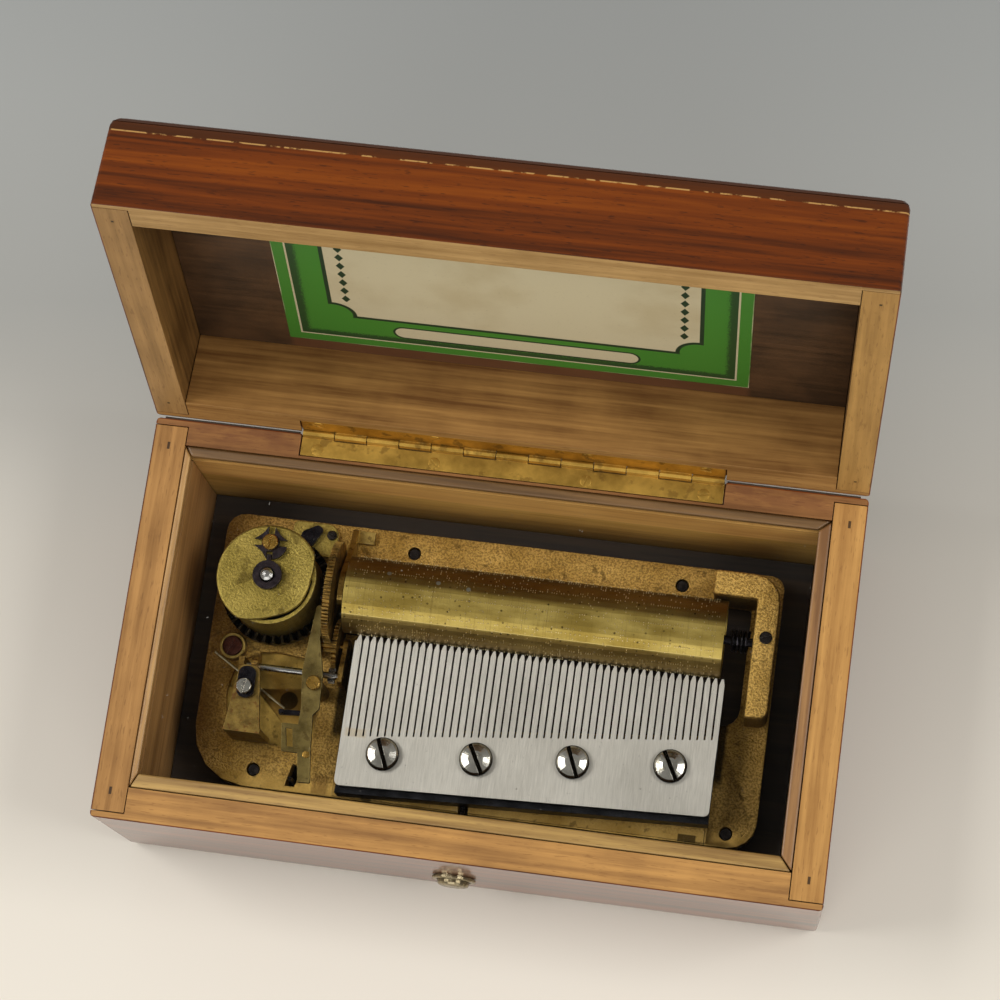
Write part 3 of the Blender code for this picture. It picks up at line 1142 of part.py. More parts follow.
stop_lever = prism("stop_lever", rounded(
    lever_side([(40.8, 0, 0.3), (43.5, 0.005, 0.3), (42.5, 0.355, 0), (41.9, 0.682, 0),
                (43.1, 0.751, 0.5)])
    + from_axis([(42.7, -18.8, 0.8), (40.9, -11.3, 0), (40.7, -4.1, 0.7), (39.2, -4.1, 0.7),
                 (38.7, -11.3, 0), (38.2, -19.1, 0.8)])
    + lever_side([(39.2, 0.737, 0), (39.1, 0.571, 0), (35.5, 0.571, 0.3), (36.3, 0.29, 0.3),
                  (39.9, 0.29, 0)])), LEVER_BOTTOM, LEVER_TOP,
    holes=[ring((LEVER_X, LEVER_Y), 1.0 * MM, 20),
           mm(lever_side([(37.2, 0.341), (38.7, 0.341), (38.0, 0.525), (36.5, 0.525)]))])
finish(stop_lever, BRASS, lever_point)
small_screw("lever_screw", (LEVER_X, LEVER_Y), 1.6 * MM, 1.0 * MM, LEVER_TOP + GLUE_GAP,
            27.3 * MM, BRASS, -35)
detent_x = 34.6 * MM
detent_y = AXIS_Y - 27.9 * MM
detent = prism("detent", rounded(from_axis([
    (33.9, -28.5, 0.5), (40.8, -28.0, 0.3), (40.8, -27.0, 0.3), (33.9, -27.3, 0.5)])),
    28.0 * MM, 28.9 * MM)
detent_pins = merge_tools("detent_pins", [
    disc("pin", (detent_x, detent_y), 0.5 * MM, 28.3 * MM, 30.6 * MM, sides=10),
    disc("stud", (40.2 * MM, AXIS_Y - 27.5 * MM), 0.4 * MM, 28.3 * MM, LEVER_BOTTOM - GLUE_GAP,
         sides=10)])
join(detent, detent_pins)
finish(detent, BLUED, lever_point)

# Start button, its flange in the front board, and the rod with its cross bar.
button_place = (BUTTON_X, 0, BUTTON_Z)
bush_radius = FLANGE_RADIUS - 0.5 * MM
button_bore = turned("button_bore", [
    (0, -OVERSHOOT), (bush_radius, -OVERSHOOT), (bush_radius, 8.8 * MM),
    (ROD_RADIUS + CLEARANCE, 8.8 * MM), (ROD_RADIUS + CLEARANCE, inner_front + OVERSHOOT),
    (0, inner_front + OVERSHOOT)], button_place, lay=ALONG_Y, sides=20, group=cutters)
cut(case_boards["front_board"], button_bore)
flange = turned("button_flange", [
    (BUTTON_RADIUS + CLEARANCE, -0.9 * MM), (FLANGE_RADIUS - 0.2 * MM, -0.9 * MM),
    (FLANGE_RADIUS, -0.7 * MM), (FLANGE_RADIUS, -GLUE_GAP),
    (bush_radius - GLUE_GAP, -GLUE_GAP), (bush_radius - GLUE_GAP, 3 * MM),
    (BUTTON_RADIUS + CLEARANCE, 3 * MM)], button_place, lay=ALONG_Y, sides=24)
finish(smooth(flange), STEEL)
button = turned("push_button", [
    (0, -BUTTON_PROUD), (BUTTON_RADIUS * 0.7, -BUTTON_PROUD),
    (BUTTON_RADIUS * 0.93, -BUTTON_PROUD + 0.25 * MM), (BUTTON_RADIUS, -BUTTON_PROUD + 0.7 * MM),
    (BUTTON_RADIUS, 6 * MM), (0, 6 * MM)], button_place, lay=ALONG_Y, sides=24)
finish(smooth(button), STEEL, button_place)
push_rod = disc("push_rod", (BUTTON_Z, BUTTON_X), ROD_RADIUS, 6 * MM + GLUE_GAP, 17.2 * MM,
                lay=ALONG_Y, sides=16)
rod_tab = block("rod_tab", (BUTTON_X - 0.6 * MM, 15.7 * MM, 11.6 * MM),
                (BUTTON_X + 0.6 * MM, 17.1 * MM, 18.0 * MM), cutters)
cross_bar = block("cross_bar", (36.7 * MM, 15.3 * MM, 11.2 * MM),
                  (BUTTON_X + 0.7 * MM, 17.2 * MM, 13.0 * MM), cutters)
cross_pin = disc("cross_pin", (37.4 * MM, 16.2 * MM), 0.5 * MM, 12 * MM, 22 * MM, sides=10,
                 group=cutters)
join(push_rod, rod_tab, cross_bar, cross_pin)
finish(push_rod, BLUED, button_place)

# Winding key under the case.
key = turned("winding_key", [
    (BARREL_ARBOR + CLEARANCE, KEY_BOTTOM + 0.3 * MM), (2.6 * MM, KEY_BOTTOM + 0.3 * MM),
    (2.6 * MM, KEY_TOP), (BARREL_ARBOR + CLEARANCE, KEY_TOP)],
    (BARREL_X, BARREL_Y, 0), sides=18)
wings = []
for side in (-1, 1):
    outline = rounded([(2.0, KEY_BOTTOM / MM + 0.5, 0), (KEY_SPAN / 2 / MM, KEY_BOTTOM / MM, 1.6),
                       (KEY_SPAN / 2 / MM, KEY_TOP / MM - 0.1, 1.6), (2.0, KEY_TOP / MM - 0.4, 0)])
    wing = prism("wing", outline, -0.8 * MM, 0.8 * MM,
                 lay=Matrix(((side, 0, 0, 0), (0, 0, 1, 0), (0, 1, 0, 0), (0, 0, 0, 1))))
    wing.data.transform(Matrix.Translation((BARREL_X, BARREL_Y, 0)))
    wings.append(wing)
join(key, merge_tools("key_wings", wings))
finish(key, BRASS, barrel_point)

# Open the lid about the hinge.
open_lid = (Matrix.Translation(hinge_point) @ Matrix.Rotation(-LID_ANGLE, 4, "X")
            @ Matrix.Translation(-Vector(hinge_point)))
for thing in dict.fromkeys(lid_things):
    thing.data.transform(open_lid)
    if thing.name in parts.objects:
        thing.data.transform(Matrix.Translation(-Vector(hinge_point)))
        thing.location = hinge_point

# Move everything so that the middle of the whole box lies over the origin.
bpy.context.view_layer.update()
graph = bpy.context.evaluated_depsgraph_get()
low = Vector((1, 1, 1))
high = Vector((-1, -1, -1))
for thing in parts.objects:
    evaluated = thing.evaluated_get(graph)
    for corner in evaluated.bound_box:
        place = evaluated.matrix_world @ Vector(corner)
        low = Vector(map(min, low, place))
        high = Vector(map(max, high, place))
shift = Vector((-(low.x + high.x) / 2, -(low.y + high.y) / 2, -low.z))
for thing in list(parts.objects) + list(cutters.objects):
    thing.location += shift
print("moved by", [round(value, 6) for value in shift])
print("box", [round(value, 6) for value in low + shift], [round(value, 6) for value in high + shift])
for name, point in (("lid", hinge_point), ("cylinder", axis_point), ("train", train_point),
                    ("governor", worm_arbor_point), ("fly", fly_point), ("barrel", barrel_point),
                    ("click", click_point), ("lever", lever_point), ("button", button_place)):
    print("joint", name, [round(value, 6) for value in Vector(point) + shift])
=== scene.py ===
import math
import random

import bmesh
import bpy
from mathutils import Matrix, Vector


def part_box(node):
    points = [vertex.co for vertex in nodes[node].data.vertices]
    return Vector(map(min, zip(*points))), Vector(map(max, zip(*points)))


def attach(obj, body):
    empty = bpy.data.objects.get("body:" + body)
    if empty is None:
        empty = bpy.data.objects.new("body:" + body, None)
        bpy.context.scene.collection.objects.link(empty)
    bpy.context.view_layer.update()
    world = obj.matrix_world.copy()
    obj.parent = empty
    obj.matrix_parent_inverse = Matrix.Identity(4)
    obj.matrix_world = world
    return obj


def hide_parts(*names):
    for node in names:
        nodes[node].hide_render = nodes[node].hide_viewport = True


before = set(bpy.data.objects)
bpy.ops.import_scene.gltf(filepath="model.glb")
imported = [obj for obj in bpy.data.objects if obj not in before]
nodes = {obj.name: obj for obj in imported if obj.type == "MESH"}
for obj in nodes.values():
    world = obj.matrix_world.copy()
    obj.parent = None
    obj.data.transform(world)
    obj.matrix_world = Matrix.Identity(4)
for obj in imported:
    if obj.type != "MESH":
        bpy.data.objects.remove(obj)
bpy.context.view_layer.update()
print("frame loaded:", len(nodes), "nodes")

mm = 0.001
# Places below are in millimetres from the case's left front bottom corner
caseShift = Vector((-77.5, -62.216, 0.0)) * mm
hingeLine = Vector((77.5, 88.3, 44.15)) * mm + caseShift
openAngle = math.radians(101.93)
openLid = (Matrix.Translation(hingeLine) @ Matrix.Rotation(-openAngle, 4, "X")
           @ Matrix.Translation(-hingeLine))


def at(x, y, z=0.0):
    return Vector((x, y, z)) * mm + caseShift


def tone(red, green, blue):  # a screen colour, 0 to 255, as the shader wants it
    shares = [value / 255 for value in (red, green, blue)]
    return tuple(share / 12.92 if share <= 0.04045 else ((share + 0.055) / 1.055) ** 2.4
                 for share in shares) + (1.0,)


class Wire:
    def __init__(self, paint, socket):
        self.paint = paint
        self.socket = socket

    def maths(self, operation, *values):
        return self.paint.node("ShaderNodeMath", {"operation": operation}, dict(enumerate(values)))

    def __add__(self, other):
        return self.maths("ADD", self, other)

    def __radd__(self, other):
        return self.maths("ADD", other, self)

    def __sub__(self, other):
        return self.maths("SUBTRACT", self, other)

    def __rsub__(self, other):
        return self.maths("SUBTRACT", other, self)

    def __mul__(self, other):
        return self.maths("MULTIPLY", self, other)

    def __rmul__(self, other):
        return self.maths("MULTIPLY", other, self)

    def __truediv__(self, other):
        return self.maths("DIVIDE", self, other)

    def __pow__(self, other):
        return self.maths("POWER", self, other)

    def __abs__(self):
        return self.maths("ABSOLUTE", self)

    def highest(self, other):
        return self.maths("MAXIMUM", self, other)

    def lowest(self, other):
        return self.maths("MINIMUM", self, other)

    def pingpong(self, step):
        return self.maths("PINGPONG", self, step)

    def angleFrom(self, other):  # degrees, 0 along other and 90 along this one
        return self.maths("ARCTAN2", self, other) * (180 / math.pi)

    def rise(self, low, high):  # 0 below low, 1 above high
        return self.paint.node("ShaderNodeMapRange", {"interpolation_type": "SMOOTHSTEP"},
                               {"Value": self, "From Min": low, "From Max": high})

    def fall(self, low, high):
        return 1 - self.rise(low, high)

    def between(self, low, high, soft):
        return self.rise(low - soft, low + soft) * self.fall(high - soft, high + soft)


class Paint:
    def __init__(self, name, onLid=False):
        self.material = bpy.data.materials.new(name)
        self.material.use_nodes = True
        self.tree = self.material.node_tree
        self.shader = self.tree.nodes["Principled BSDF"]
        toCase = Matrix.Translation(-caseShift)
        if onLid:  # the lid stands open, and its patterns are laid on it as if it were closed
            toCase = toCase @ openLid.inverted()
        self.place = self.mapped(self.node("ShaderNodeTexCoord", output="Object"),
                                 toCase.translation / mm, toCase.to_euler(), (1 / mm,) * 3)

    def node(self, kind, settings=None, values=None, output=0):
        made = self.tree.nodes.new(kind)
        for name, value in (settings or {}).items():
            if name == "stops":
                stops = made.color_ramp.elements
                while len(stops) < len(value):
                    stops.new(0.5)
                for stop, (position, colour) in zip(stops, value):
                    stop.position = position
                    stop.color = tone(*colour)
            else:
                setattr(made, name, value)
        for name, value in (values or {}).items():
            if isinstance(value, Wire):
                self.tree.links.new(value.socket, made.inputs[name])
            else:
                made.inputs[name].default_value = value
        return Wire(self, made.outputs[output])

    def axes(self):  # case millimetres
        parts = self.node("ShaderNodeSeparateXYZ", None, {0: self.place}).socket.node.outputs
        return Wire(self, parts[0]), Wire(self, parts[1]), Wire(self, parts[2])

    def mapped(self, place=None, location=(0, 0, 0), rotation=(0, 0, 0), scale=(1, 1, 1)):
        return self.node("ShaderNodeMapping", None, {
            "Vector": place or self.place, "Location": location, "Rotation": rotation,
            "Scale": scale})

    def noise(self, scale, detail=3.0, roughness=0.55, distortion=0.0, shift=(0, 0, 0)):
        # scale is one number or three, in waves a millimetre
        across = (scale,) * 3 if isinstance(scale, float) else scale
        return self.node("ShaderNodeTexNoise", None, {
            "Vector": self.mapped(location=shift, scale=across), "Scale": 1.0, "Detail": detail,
            "Roughness": roughness, "Distortion": distortion})

    def mix(self, factor, first, second):
        colours = [tone(*value) if isinstance(value, tuple) else value for value in (first, second)]
        return self.node("ShaderNodeMix", {"data_type": "RGBA"},
                         {0: factor, 6: colours[0], 7: colours[1]}, output=2)

    def ramp(self, value, stops):
        return self.node("ShaderNodeValToRGB", {"stops": stops}, {0: value})

    def blend(self, value, low, high, tones):  # from the first tone at low to the second at high
        return self.ramp(value, [(low, tones[0]), (high, tones[1])])

    def spot(self, u, v, middle, radius, soft=0.1):
        away = ((u - middle[0]) ** 2.0 + (v - middle[1]) ** 2.0) ** 0.5
        return away.fall(radius - soft, radius + soft)

    def eased(self, radius):  # shading that rounds the sharp edges a little
        return self.node("ShaderNodeBevel", {"samples": 4}, {"Radius": radius * mm})

    def worn(self, soft):  # 1 on sharp edges, 0 on the flat
        flat = self.node("ShaderNodeNewGeometry", output="Normal")
        return self.node("ShaderNodeVectorMath", {"operation": "DOT_PRODUCT"}, {0: soft, 1: flat},
                         output="Value").fall(0.9, 0.995)

    def bump(self, height, strength, distance=0.1, normal=None):
        values = {"Height": height, "Strength": strength, "Distance": distance * mm}
        if normal is not None:
            values["Normal"] = normal
        return self.node("ShaderNodeBump", None, values)

    def surface(self, **values):
        for name, value in values.items():
            socket = self.shader.inputs[name.replace("_", " ")]
            if isinstance(value, Wire):
                self.tree.links.new(value.socket, socket)
            else:
                socket.default_value = tone(*value) if isinstance(value, tuple) else value
        return self.material


def dress(made, *names):
    for name in names:
        nodes[name].data.materials.clear()
        nodes[name].data.materials.append(made)


# Case and lid boards

# Each board's inner wall tone is partly painted light and shade: the right wall dark as painted
# shade, the back and left walls made lighter to offset the shadow they lie in.
boardUser = {
    "front_board": {"run": 0, "rim": ((142, 100, 54), (196, 145, 80)), "fleck": (122, 80, 40),
                    "wall": ((52, 38, 25), (92, 68, 44))},
    "back_board": {"run": 0, "rim": ((112, 72, 36), (154, 106, 58)), "fleck": (84, 46, 26),
                   "wall": ((196, 142, 74), (226, 174, 96)),
                   "lower": ((176, 132, 60), (214, 168, 88))},
    "left_board": {"run": 1, "rim": ((140, 98, 50), (182, 134, 76)), "fleck": (108, 72, 36),
                   "wall": ((142, 102, 56), (188, 140, 82))},
    "right_board": {"run": 1, "rim": ((156, 110, 56), (198, 148, 82)), "fleck": (130, 88, 44),
                    "wall": ((44, 31, 18), (76, 54, 32))},
    "lid_front_board": {"run": 0, "rim": ((150, 115, 66), (190, 152, 96)), "fleck": (130, 94, 52),
                        "wall": ((96, 66, 32), (148, 108, 58))},
    "lid_back_board": {"run": 0, "rim": ((132, 92, 46), (176, 132, 74)), "fleck": (104, 64, 34),
                       "wall": ((106, 68, 30), (172, 126, 68))},
    "lid_left_board": {"run": 1, "rim": ((136, 102, 58), (172, 132, 80)), "fleck": (112, 78, 42),
                       "wall": ((94, 64, 28), (146, 106, 56))},
    "lid_right_board": {"run": 1, "rim": ((150, 112, 58), (188, 144, 80)), "fleck": (122, 86, 44),
                        "wall": ((96, 68, 36), (150, 112, 66))},
    "lid_top_panel": {"run": 0, "rim": ((136, 102, 58), (172, 132, 80)), "fleck": (112, 78, 42),
                      "wall": ((46, 31, 16), (74, 51, 30)), "shade": 0.35},
}
lacquerUser = {"streaks": ((0.37, (58, 24, 3)), (0.44, (86, 37, 3)), (0.53, (110, 49, 4)),
                           (0.64, (132, 64, 7))),
               "shade": (20, 10, 4), "coat": {"case": 0.55, "lid": 0.15}, "roughness": 0.28,
               "chip": (202, 156, 90), "seam": 61.15, "panel": (70, 36, 10), "fleck": (40, 18, 6),
               "chipped": {"lid_front_board": 0.75, "others": 0.2}}
nailUser = {"case": (73.98, 38.0, 0.3, 0.8), "lid": (74.05, 37.8, 0.28, 0.32), "tone": (24, 14, 8)}
stainUser = {"tone": (84, 38, 26), "places": ((8, 32), (124, 150))}


def woodGrain(paint, run):  # fibres, broad streaks and short pores that run along one axis
    def stretched(long, fine):
        scale = [fine] * 3
        scale[run] = long
        return tuple(scale)
    fibres = paint.noise(stretched(0.026, 0.7), detail=5, roughness=0.62)
    streaks = paint.noise(stretched(0.005, 0.24), detail=3, distortion=0.8, shift=(3.1, 1.7, 5.3))
    pores = paint.noise(stretched(0.3, 2.4), detail=2, shift=(7.7, 2.9, 1.3)).rise(0.6, 0.68)
    return fibres, streaks, pores


def boardPaint(name):
    user = boardUser[name]
    onLid = name.startswith("lid")
    paint = Paint(name + "_wood", onLid)
    x, y, z = paint.axes()
    fibres, streaks, pores = woodGrain(paint, user["run"])
    patches = paint.noise(0.045, detail=4)
    outside = paint.ramp(fibres * 0.38 + streaks * 0.62, lacquerUser["streaks"])
    outside = paint.mix(pores * 0.5, outside, lacquerUser["fleck"])
    outside = paint.mix(user.get("shade", 0.0), outside, lacquerUser["shade"])
    inside = x.between(7.0, 148.0, 0.05) * y.between(7.0, 81.0 if onLid else 82.4, 0.05)
    figure = fibres * 0.45 + patches * 0.3 + streaks * 0.25
    wall = paint.blend(figure, 0.4, 0.6, user["wall"])
    rim = paint.blend(figure, 0.4, 0.6, user["rim"])
    rim = paint.mix(pores * 0.4, rim, user["fleck"])
    edge = x.between(0.24, 154.76, 0.1) * y.between(0.24, 87.76, 0.1)
    if name == "lid_top_panel":
        inside = inside * z.fall(63.8, 64.0)
        outside = paint.mix(z.fall(64.3, 64.9) * 0.75, outside, lacquerUser["panel"])
        onRim = z.fall(0, 1)  # the panel lies above every rim
    elif onLid:
        onRim = z.fall(44.34, 44.42) * edge
        seam = lacquerUser["seam"]
        outside = paint.mix(z.rise(seam - 0.1, seam) * 0.75, outside, lacquerUser["panel"])
        chips = paint.noise(0.4, detail=3).rise(0.42, 0.52)
        chips = chips * z.between(seam - 0.16, seam + 0.16, 0.05)
        chipped = lacquerUser["chipped"].get(name, lacquerUser["chipped"]["others"])
        outside = paint.mix(chips * chipped, outside, lacquerUser["chip"])
        # Painted shade: the lid's inner walls darker towards the corner at the top panel.
        wall = paint.mix(z.rise(52, 63) * 0.2, wall, (60, 38, 18))
    else:
        onRim = z.rise(43.88, 43.96) * edge
        # Painted light: the back wall is lighter above z 29, where the bead shades it, and tan
        # below.
        if "lower" in user:
            lower = paint.blend(figure, 0.4, 0.6, user["lower"])
            wall = paint.mix(z.fall(28.8, 29.3), wall, lower)
        # Painted shade: the case's inner walls darker towards the floor.
        wall = paint.mix(z.fall(4, 22) * 0.45, wall, (30, 20, 10))
        if name == "back_board":
            stain = paint.noise((0.12, 0.4, 0.4), detail=4).rise(0.42, 0.6)
            for left, right in stainUser["places"]:
                wet = x.between(left, right, 6) * stain * y.rise(82, 86)
                rim = paint.mix(wet * 0.4, rim, stainUser["tone"])
    out, back, halfX, halfY = nailUser["lid" if onLid else "case"]
    slot = (abs(abs(x - 77.5) - out).fall(halfX - 0.08, halfX + 0.08)
            * abs(abs(y - 44.0) - back).fall(halfY - 0.08, halfY + 0.08))
    rim = paint.mix(slot * 0.85, rim, nailUser["tone"])
    colour = paint.mix(onRim, paint.mix(inside, outside, wall), rim)
    bare = inside.highest(onRim)
    coat = lacquerUser["coat"]["lid" if onLid else "case"]
    return paint.surface(Base_Color=colour, Roughness=bare * 0.24 + lacquerUser["roughness"],
                         Coat_Weight=(1 - bare) * coat, Coat_Roughness=0.07,
                         Specular_IOR_Level=0.25,
                         Normal=paint.bump(fibres - pores * 0.4, 0.14, 0.08, paint.eased(0.2)))


for name in boardUser:
    dress(boardPaint(name), name)
print("boards painted")


# Beads round the glass, the floor board and the pane

# The beads' tones differ by side as painted light and shade; the back bead is darkest, as painted
# shadow.
beadUser = {
    "bead_front": {"run": 0, "tones": ((134, 100, 48), (186, 148, 80))},
    "bead_back": {"run": 0, "tones": ((90, 64, 33), (128, 94, 52))},
    "bead_left": {"run": 1, "tones": ((146, 106, 58), (196, 152, 90))},
    "bead_right": {"run": 1, "tones": ((120, 81, 42), (162, 118, 68))},
}
# The floor board's dark tones are partly painted shade, for the shadowed gaps between the movement
# and the walls.
floorBoardUser = {"tones": ((34, 24, 12), (66, 48, 26))}
glassUser = {"tint": (10, 11, 9), "dust": (190, 186, 176), "cover": 0.04}

for name, user in beadUser.items():
    paint = Paint(name + "_wood")
    fibres, streaks, pores = woodGrain(paint, user["run"])
    colour = paint.blend(fibres * 0.6 + streaks * 0.4, 0.4, 0.6, user["tones"])
    colour = paint.mix(pores * 0.3, colour, (92, 60, 30))
    soft = paint.eased(0.3)
    dress(paint.surface(Base_Color=paint.mix(paint.worn(soft) * 0.3, colour, (84, 54, 28)),
                        Roughness=fibres * 0.14 + 0.36, Coat_Weight=0.2, Coat_Roughness=0.3,
                        Normal=paint.bump(fibres, 0.14, 0.08, soft)), name)

paint = Paint("floor_board_wood")
fibres, streaks, pores = woodGrain(paint, 0)
colour = paint.blend(fibres * 0.5 + streaks * 0.5, 0.38, 0.64, floorBoardUser["tones"])
darkWood = paint.surface(Base_Color=colour, Roughness=0.7, Normal=paint.bump(fibres, 0.2))
dress(darkWood, "bottom_panel")

paint = Paint("cover_glass")
specks = paint.noise(1.1, detail=2).rise(0.745, 0.77)
smear = paint.noise(0.03, detail=4).rise(0.5, 0.8)
dress(paint.surface(Base_Color=paint.mix(specks, glassUser["tint"], glassUser["dust"]),
                    Roughness=0.03, Alpha=specks * 0.22 + smear * 0.02 + glassUser["cover"]),
      "glass_pane")
print("glazing painted")


# Metals

metalUser = {
    "cover": {"tones": ((136, 118, 52), (184, 162, 84)), "rough": 0.48, "cloud": 0.09, "sand": 0.6,
              "edge": (222, 204, 130), "wear": 0.6, "ease": 0.25, "stain": (92, 76, 34)},
    "wheel": {"tones": ((92, 70, 38), (186, 148, 74)), "rough": 0.46, "cloud": 0.5,
              "edge": (220, 184, 100), "wear": 0.7, "ease": 0.08, "stain": (30, 23, 14)},
    "crown": {"tones": ((20, 17, 13), (52, 44, 30)), "rough": 0.4, "cloud": 0.5,
              "edge": (120, 100, 60), "wear": 0.35, "ease": 0.08, "stain": (12, 10, 8)},
    "plain brass": {"tones": ((134, 110, 54), (190, 162, 90)), "rough": 0.42, "cloud": 0.3,
                    "edge": (222, 194, 116), "wear": 0.5, "ease": 0.1, "stain": (84, 62, 30)},
    "lever": {"tones": ((92, 78, 42), (138, 120, 70)), "rough": 0.4, "cloud": 0.22, "brush": 1,
              "edge": (226, 202, 130), "wear": 0.7, "ease": 0.12, "stain": (78, 60, 32)},
    "cock": {"tones": ((98, 78, 40), (146, 120, 62)), "rough": 0.42, "cloud": 0.4, "brush": 1,
             "edge": (190, 160, 96), "wear": 0.6, "ease": 0.14, "stain": (104, 58, 34)},
    "hinge": {"tones": ((160, 124, 54), (210, 168, 80)), "rough": 0.44, "cloud": 0.12, "brush": 0,
              "edge": (236, 202, 120), "wear": 0.5, "ease": 0.12, "stain": (104, 76, 34)},
    "gold screw": {"tones": ((150, 112, 42), (206, 162, 78)), "rough": 0.24, "cloud": 0.5,
                   "edge": (236, 204, 130), "wear": 0.5, "ease": 0.08, "stain": (96, 66, 26)},
    "nickel": {"tones": ((176, 172, 160), (206, 202, 190)), "rough": 0.12, "cloud": 0.2,
               "edge": (232, 228, 214), "wear": 0.5, "ease": 0.12, "stain": (120, 112, 90)},
    # The comb screws' slot colour is painted shade, laid below the slot's top.
    "comb screw": {"tones": ((176, 172, 160), (206, 202, 190)), "rough": 0.16, "cloud": 0.2,
                   "edge": (232, 228, 214), "wear": 0.5, "ease": 0.12, "stain": (120, 112, 90),
                   "slot": (28.95, (26, 21, 13))},
    "pin": {"tones": ((196, 178, 130), (236, 220, 176)), "rough": 0.34, "cloud": 0.3,
            "edge": (246, 234, 200), "wear": 0.3, "ease": 0.03, "stain": (150, 128, 84)},
    "worn nickel": {"tones": ((124, 112, 86), (170, 156, 124)), "rough": 0.28, "cloud": 0.4,
                    "edge": (206, 192, 160), "wear": 0.5, "ease": 0.15, "stain": (92, 78, 50)},
    "steel": {"tones": ((150, 148, 142), (184, 182, 176)), "rough": 0.24, "cloud": 0.12,
              "edge": (214, 212, 204), "wear": 0.5, "ease": 0.08, "stain": (136, 130, 122)},
    "wire": {"tones": ((150, 138, 108), (196, 184, 150)), "rough": 0.3, "cloud": 0.3,
             "edge": (220, 208, 172), "wear": 0.3, "ease": 0.05, "stain": (70, 56, 40)},
    "black": {"tones": ((16, 15, 18), (44, 41, 44)), "rough": 0.34, "cloud": 0.5,
              "edge": (96, 92, 92), "wear": 0.5, "ease": 0.12, "stain": (40, 28, 24)},
    "violet black": {"tones": ((34, 29, 32), (62, 54, 56)), "rough": 0.42, "cloud": 0.6,
                     "edge": (112, 98, 90), "wear": 0.4, "ease": 0.14, "stain": (46, 34, 28)},
    "dark screw": {"tones": ((26, 23, 22), (60, 54, 50)), "rough": 0.4, "cloud": 0.8,
                   "edge": (104, 96, 88), "wear": 0.5, "ease": 0.2, "stain": (20, 16, 14)},
    "red screw": {"tones": ((54, 28, 22), (96, 56, 44)), "rough": 0.36, "cloud": 0.7,
                  "edge": (150, 110, 90), "wear": 0.4, "ease": 0.2, "stain": (32, 20, 16)},
    # Painted shade: the comb base dark, as in the comb's shadow.
    "blued base": {"tones": ((24, 24, 25), (54, 54, 56)), "rough": 0.4, "cloud": 0.2,
                   "edge": (110, 112, 116), "wear": 0.4, "ease": 0.12, "stain": (30, 28, 28)},
}


def metalPaint(name):
    user = metalUser[name]
    paint = Paint(name.replace(" ", "_") + "_metal")
    patches = paint.noise(user["cloud"], detail=5, roughness=0.65)
    colour = paint.blend(patches, 0.34, 0.64, user["tones"])
    stain = paint.noise(user["cloud"] * 2.6, detail=4, shift=(4, 2, 7)).rise(0.56, 0.66)
    colour = paint.mix(stain * 0.6, colour, user["stain"])
    soft = paint.eased(user["ease"])
    rub = paint.noise(1.6, detail=3).rise(0.35, 0.6) * paint.worn(soft) * user["wear"]
    colour = paint.mix(rub, colour, user["edge"])
    if "slot" in user:  # painted shade in the slot, below this height
        level, slotShade = user["slot"]
        colour = paint.mix(paint.axes()[2].fall(level, level + 0.12), colour, slotShade)
    if "sand" in user:
        grains = paint.noise(2.0, detail=2, roughness=0.6)
        colour = paint.mix(grains.fall(0.38, 0.56) * 0.35, colour, user["stain"])
        soft = paint.bump(grains, user["sand"], 0.25, soft)
    else:  # fine lines along one axis, plainer where the metal has been brushed
        across = [2.8] * 3
        across[user.get("brush", 1)] = 0.14
        depth = 0.12 if "brush" in user else 0.04
        soft = paint.bump(paint.noise(tuple(across), detail=3), depth, 0.05, soft)
    return paint.surface(Base_Color=colour, Metallic=1.0, Normal=soft,
                         Roughness=patches * 0.14 + stain * 0.12 + (user["rough"] - 0.07))


metals = {name: metalPaint(name) for name in metalUser}
dress(metals["cover"], "barrel_cover", "barrel_drum", "click_plate")
dress(metals["wheel"], "great_wheel", "worm_wheel", "train_arbor", "train_bracket")
dress(metals["crown"], "crown_wheel")
dress(metals["plain brass"], "arbor_bracket")
dress(metals["lever"], "stop_lever")
dress(metals["cock"], "governor_cock")
dress(metals["hinge"], "hinge_case_leaf", "hinge_lid_leaf", "hinge_pin")
dress(metals["gold screw"], "geneva_screw", "lever_screw")
dress(metals["comb screw"], "comb_screw_1", "comb_screw_2", "comb_screw_3", "comb_screw_4")
dress(metals["nickel"], "cock_screw")
dress(metals["worn nickel"], "push_button", "button_flange", "winding_key")
dress(metals["steel"], "governor_arbor", "barrel_arbor")
dress(metals["wire"], "worm_and_fly")
dress(metals["black"], "cylinder_arbor", "arbor_spring", "click", "detent", "mainspring",
      "cap_plate")
dress(metals["violet black"], "geneva_cross", "stop_finger")
dress(metals["dark screw"], "foot_screw_1", "foot_screw_2", "foot_screw_3", "foot_screw_4")
dress(metals["blued base"], "comb_base")

# The rod that the button pushes has a fine thread, seen in the plate's notch
rodUser = {"pitch": 0.55, "tones": ((22, 19, 17), (74, 66, 58))}
paint = Paint("threaded_rod")
x, y, z = paint.axes()
# Painted light: the thread lighter on its crests and darker in its roots.
turns = (y / rodUser["pitch"] + x * 0.2).pingpong(0.5) * 2
dress(paint.surface(Base_Color=paint.blend(turns, 0.1, 0.9, rodUser["tones"]), Metallic=1.0,
                    Roughness=0.4, Normal=paint.bump(turns, 0.8, 0.15)), "push_rod")

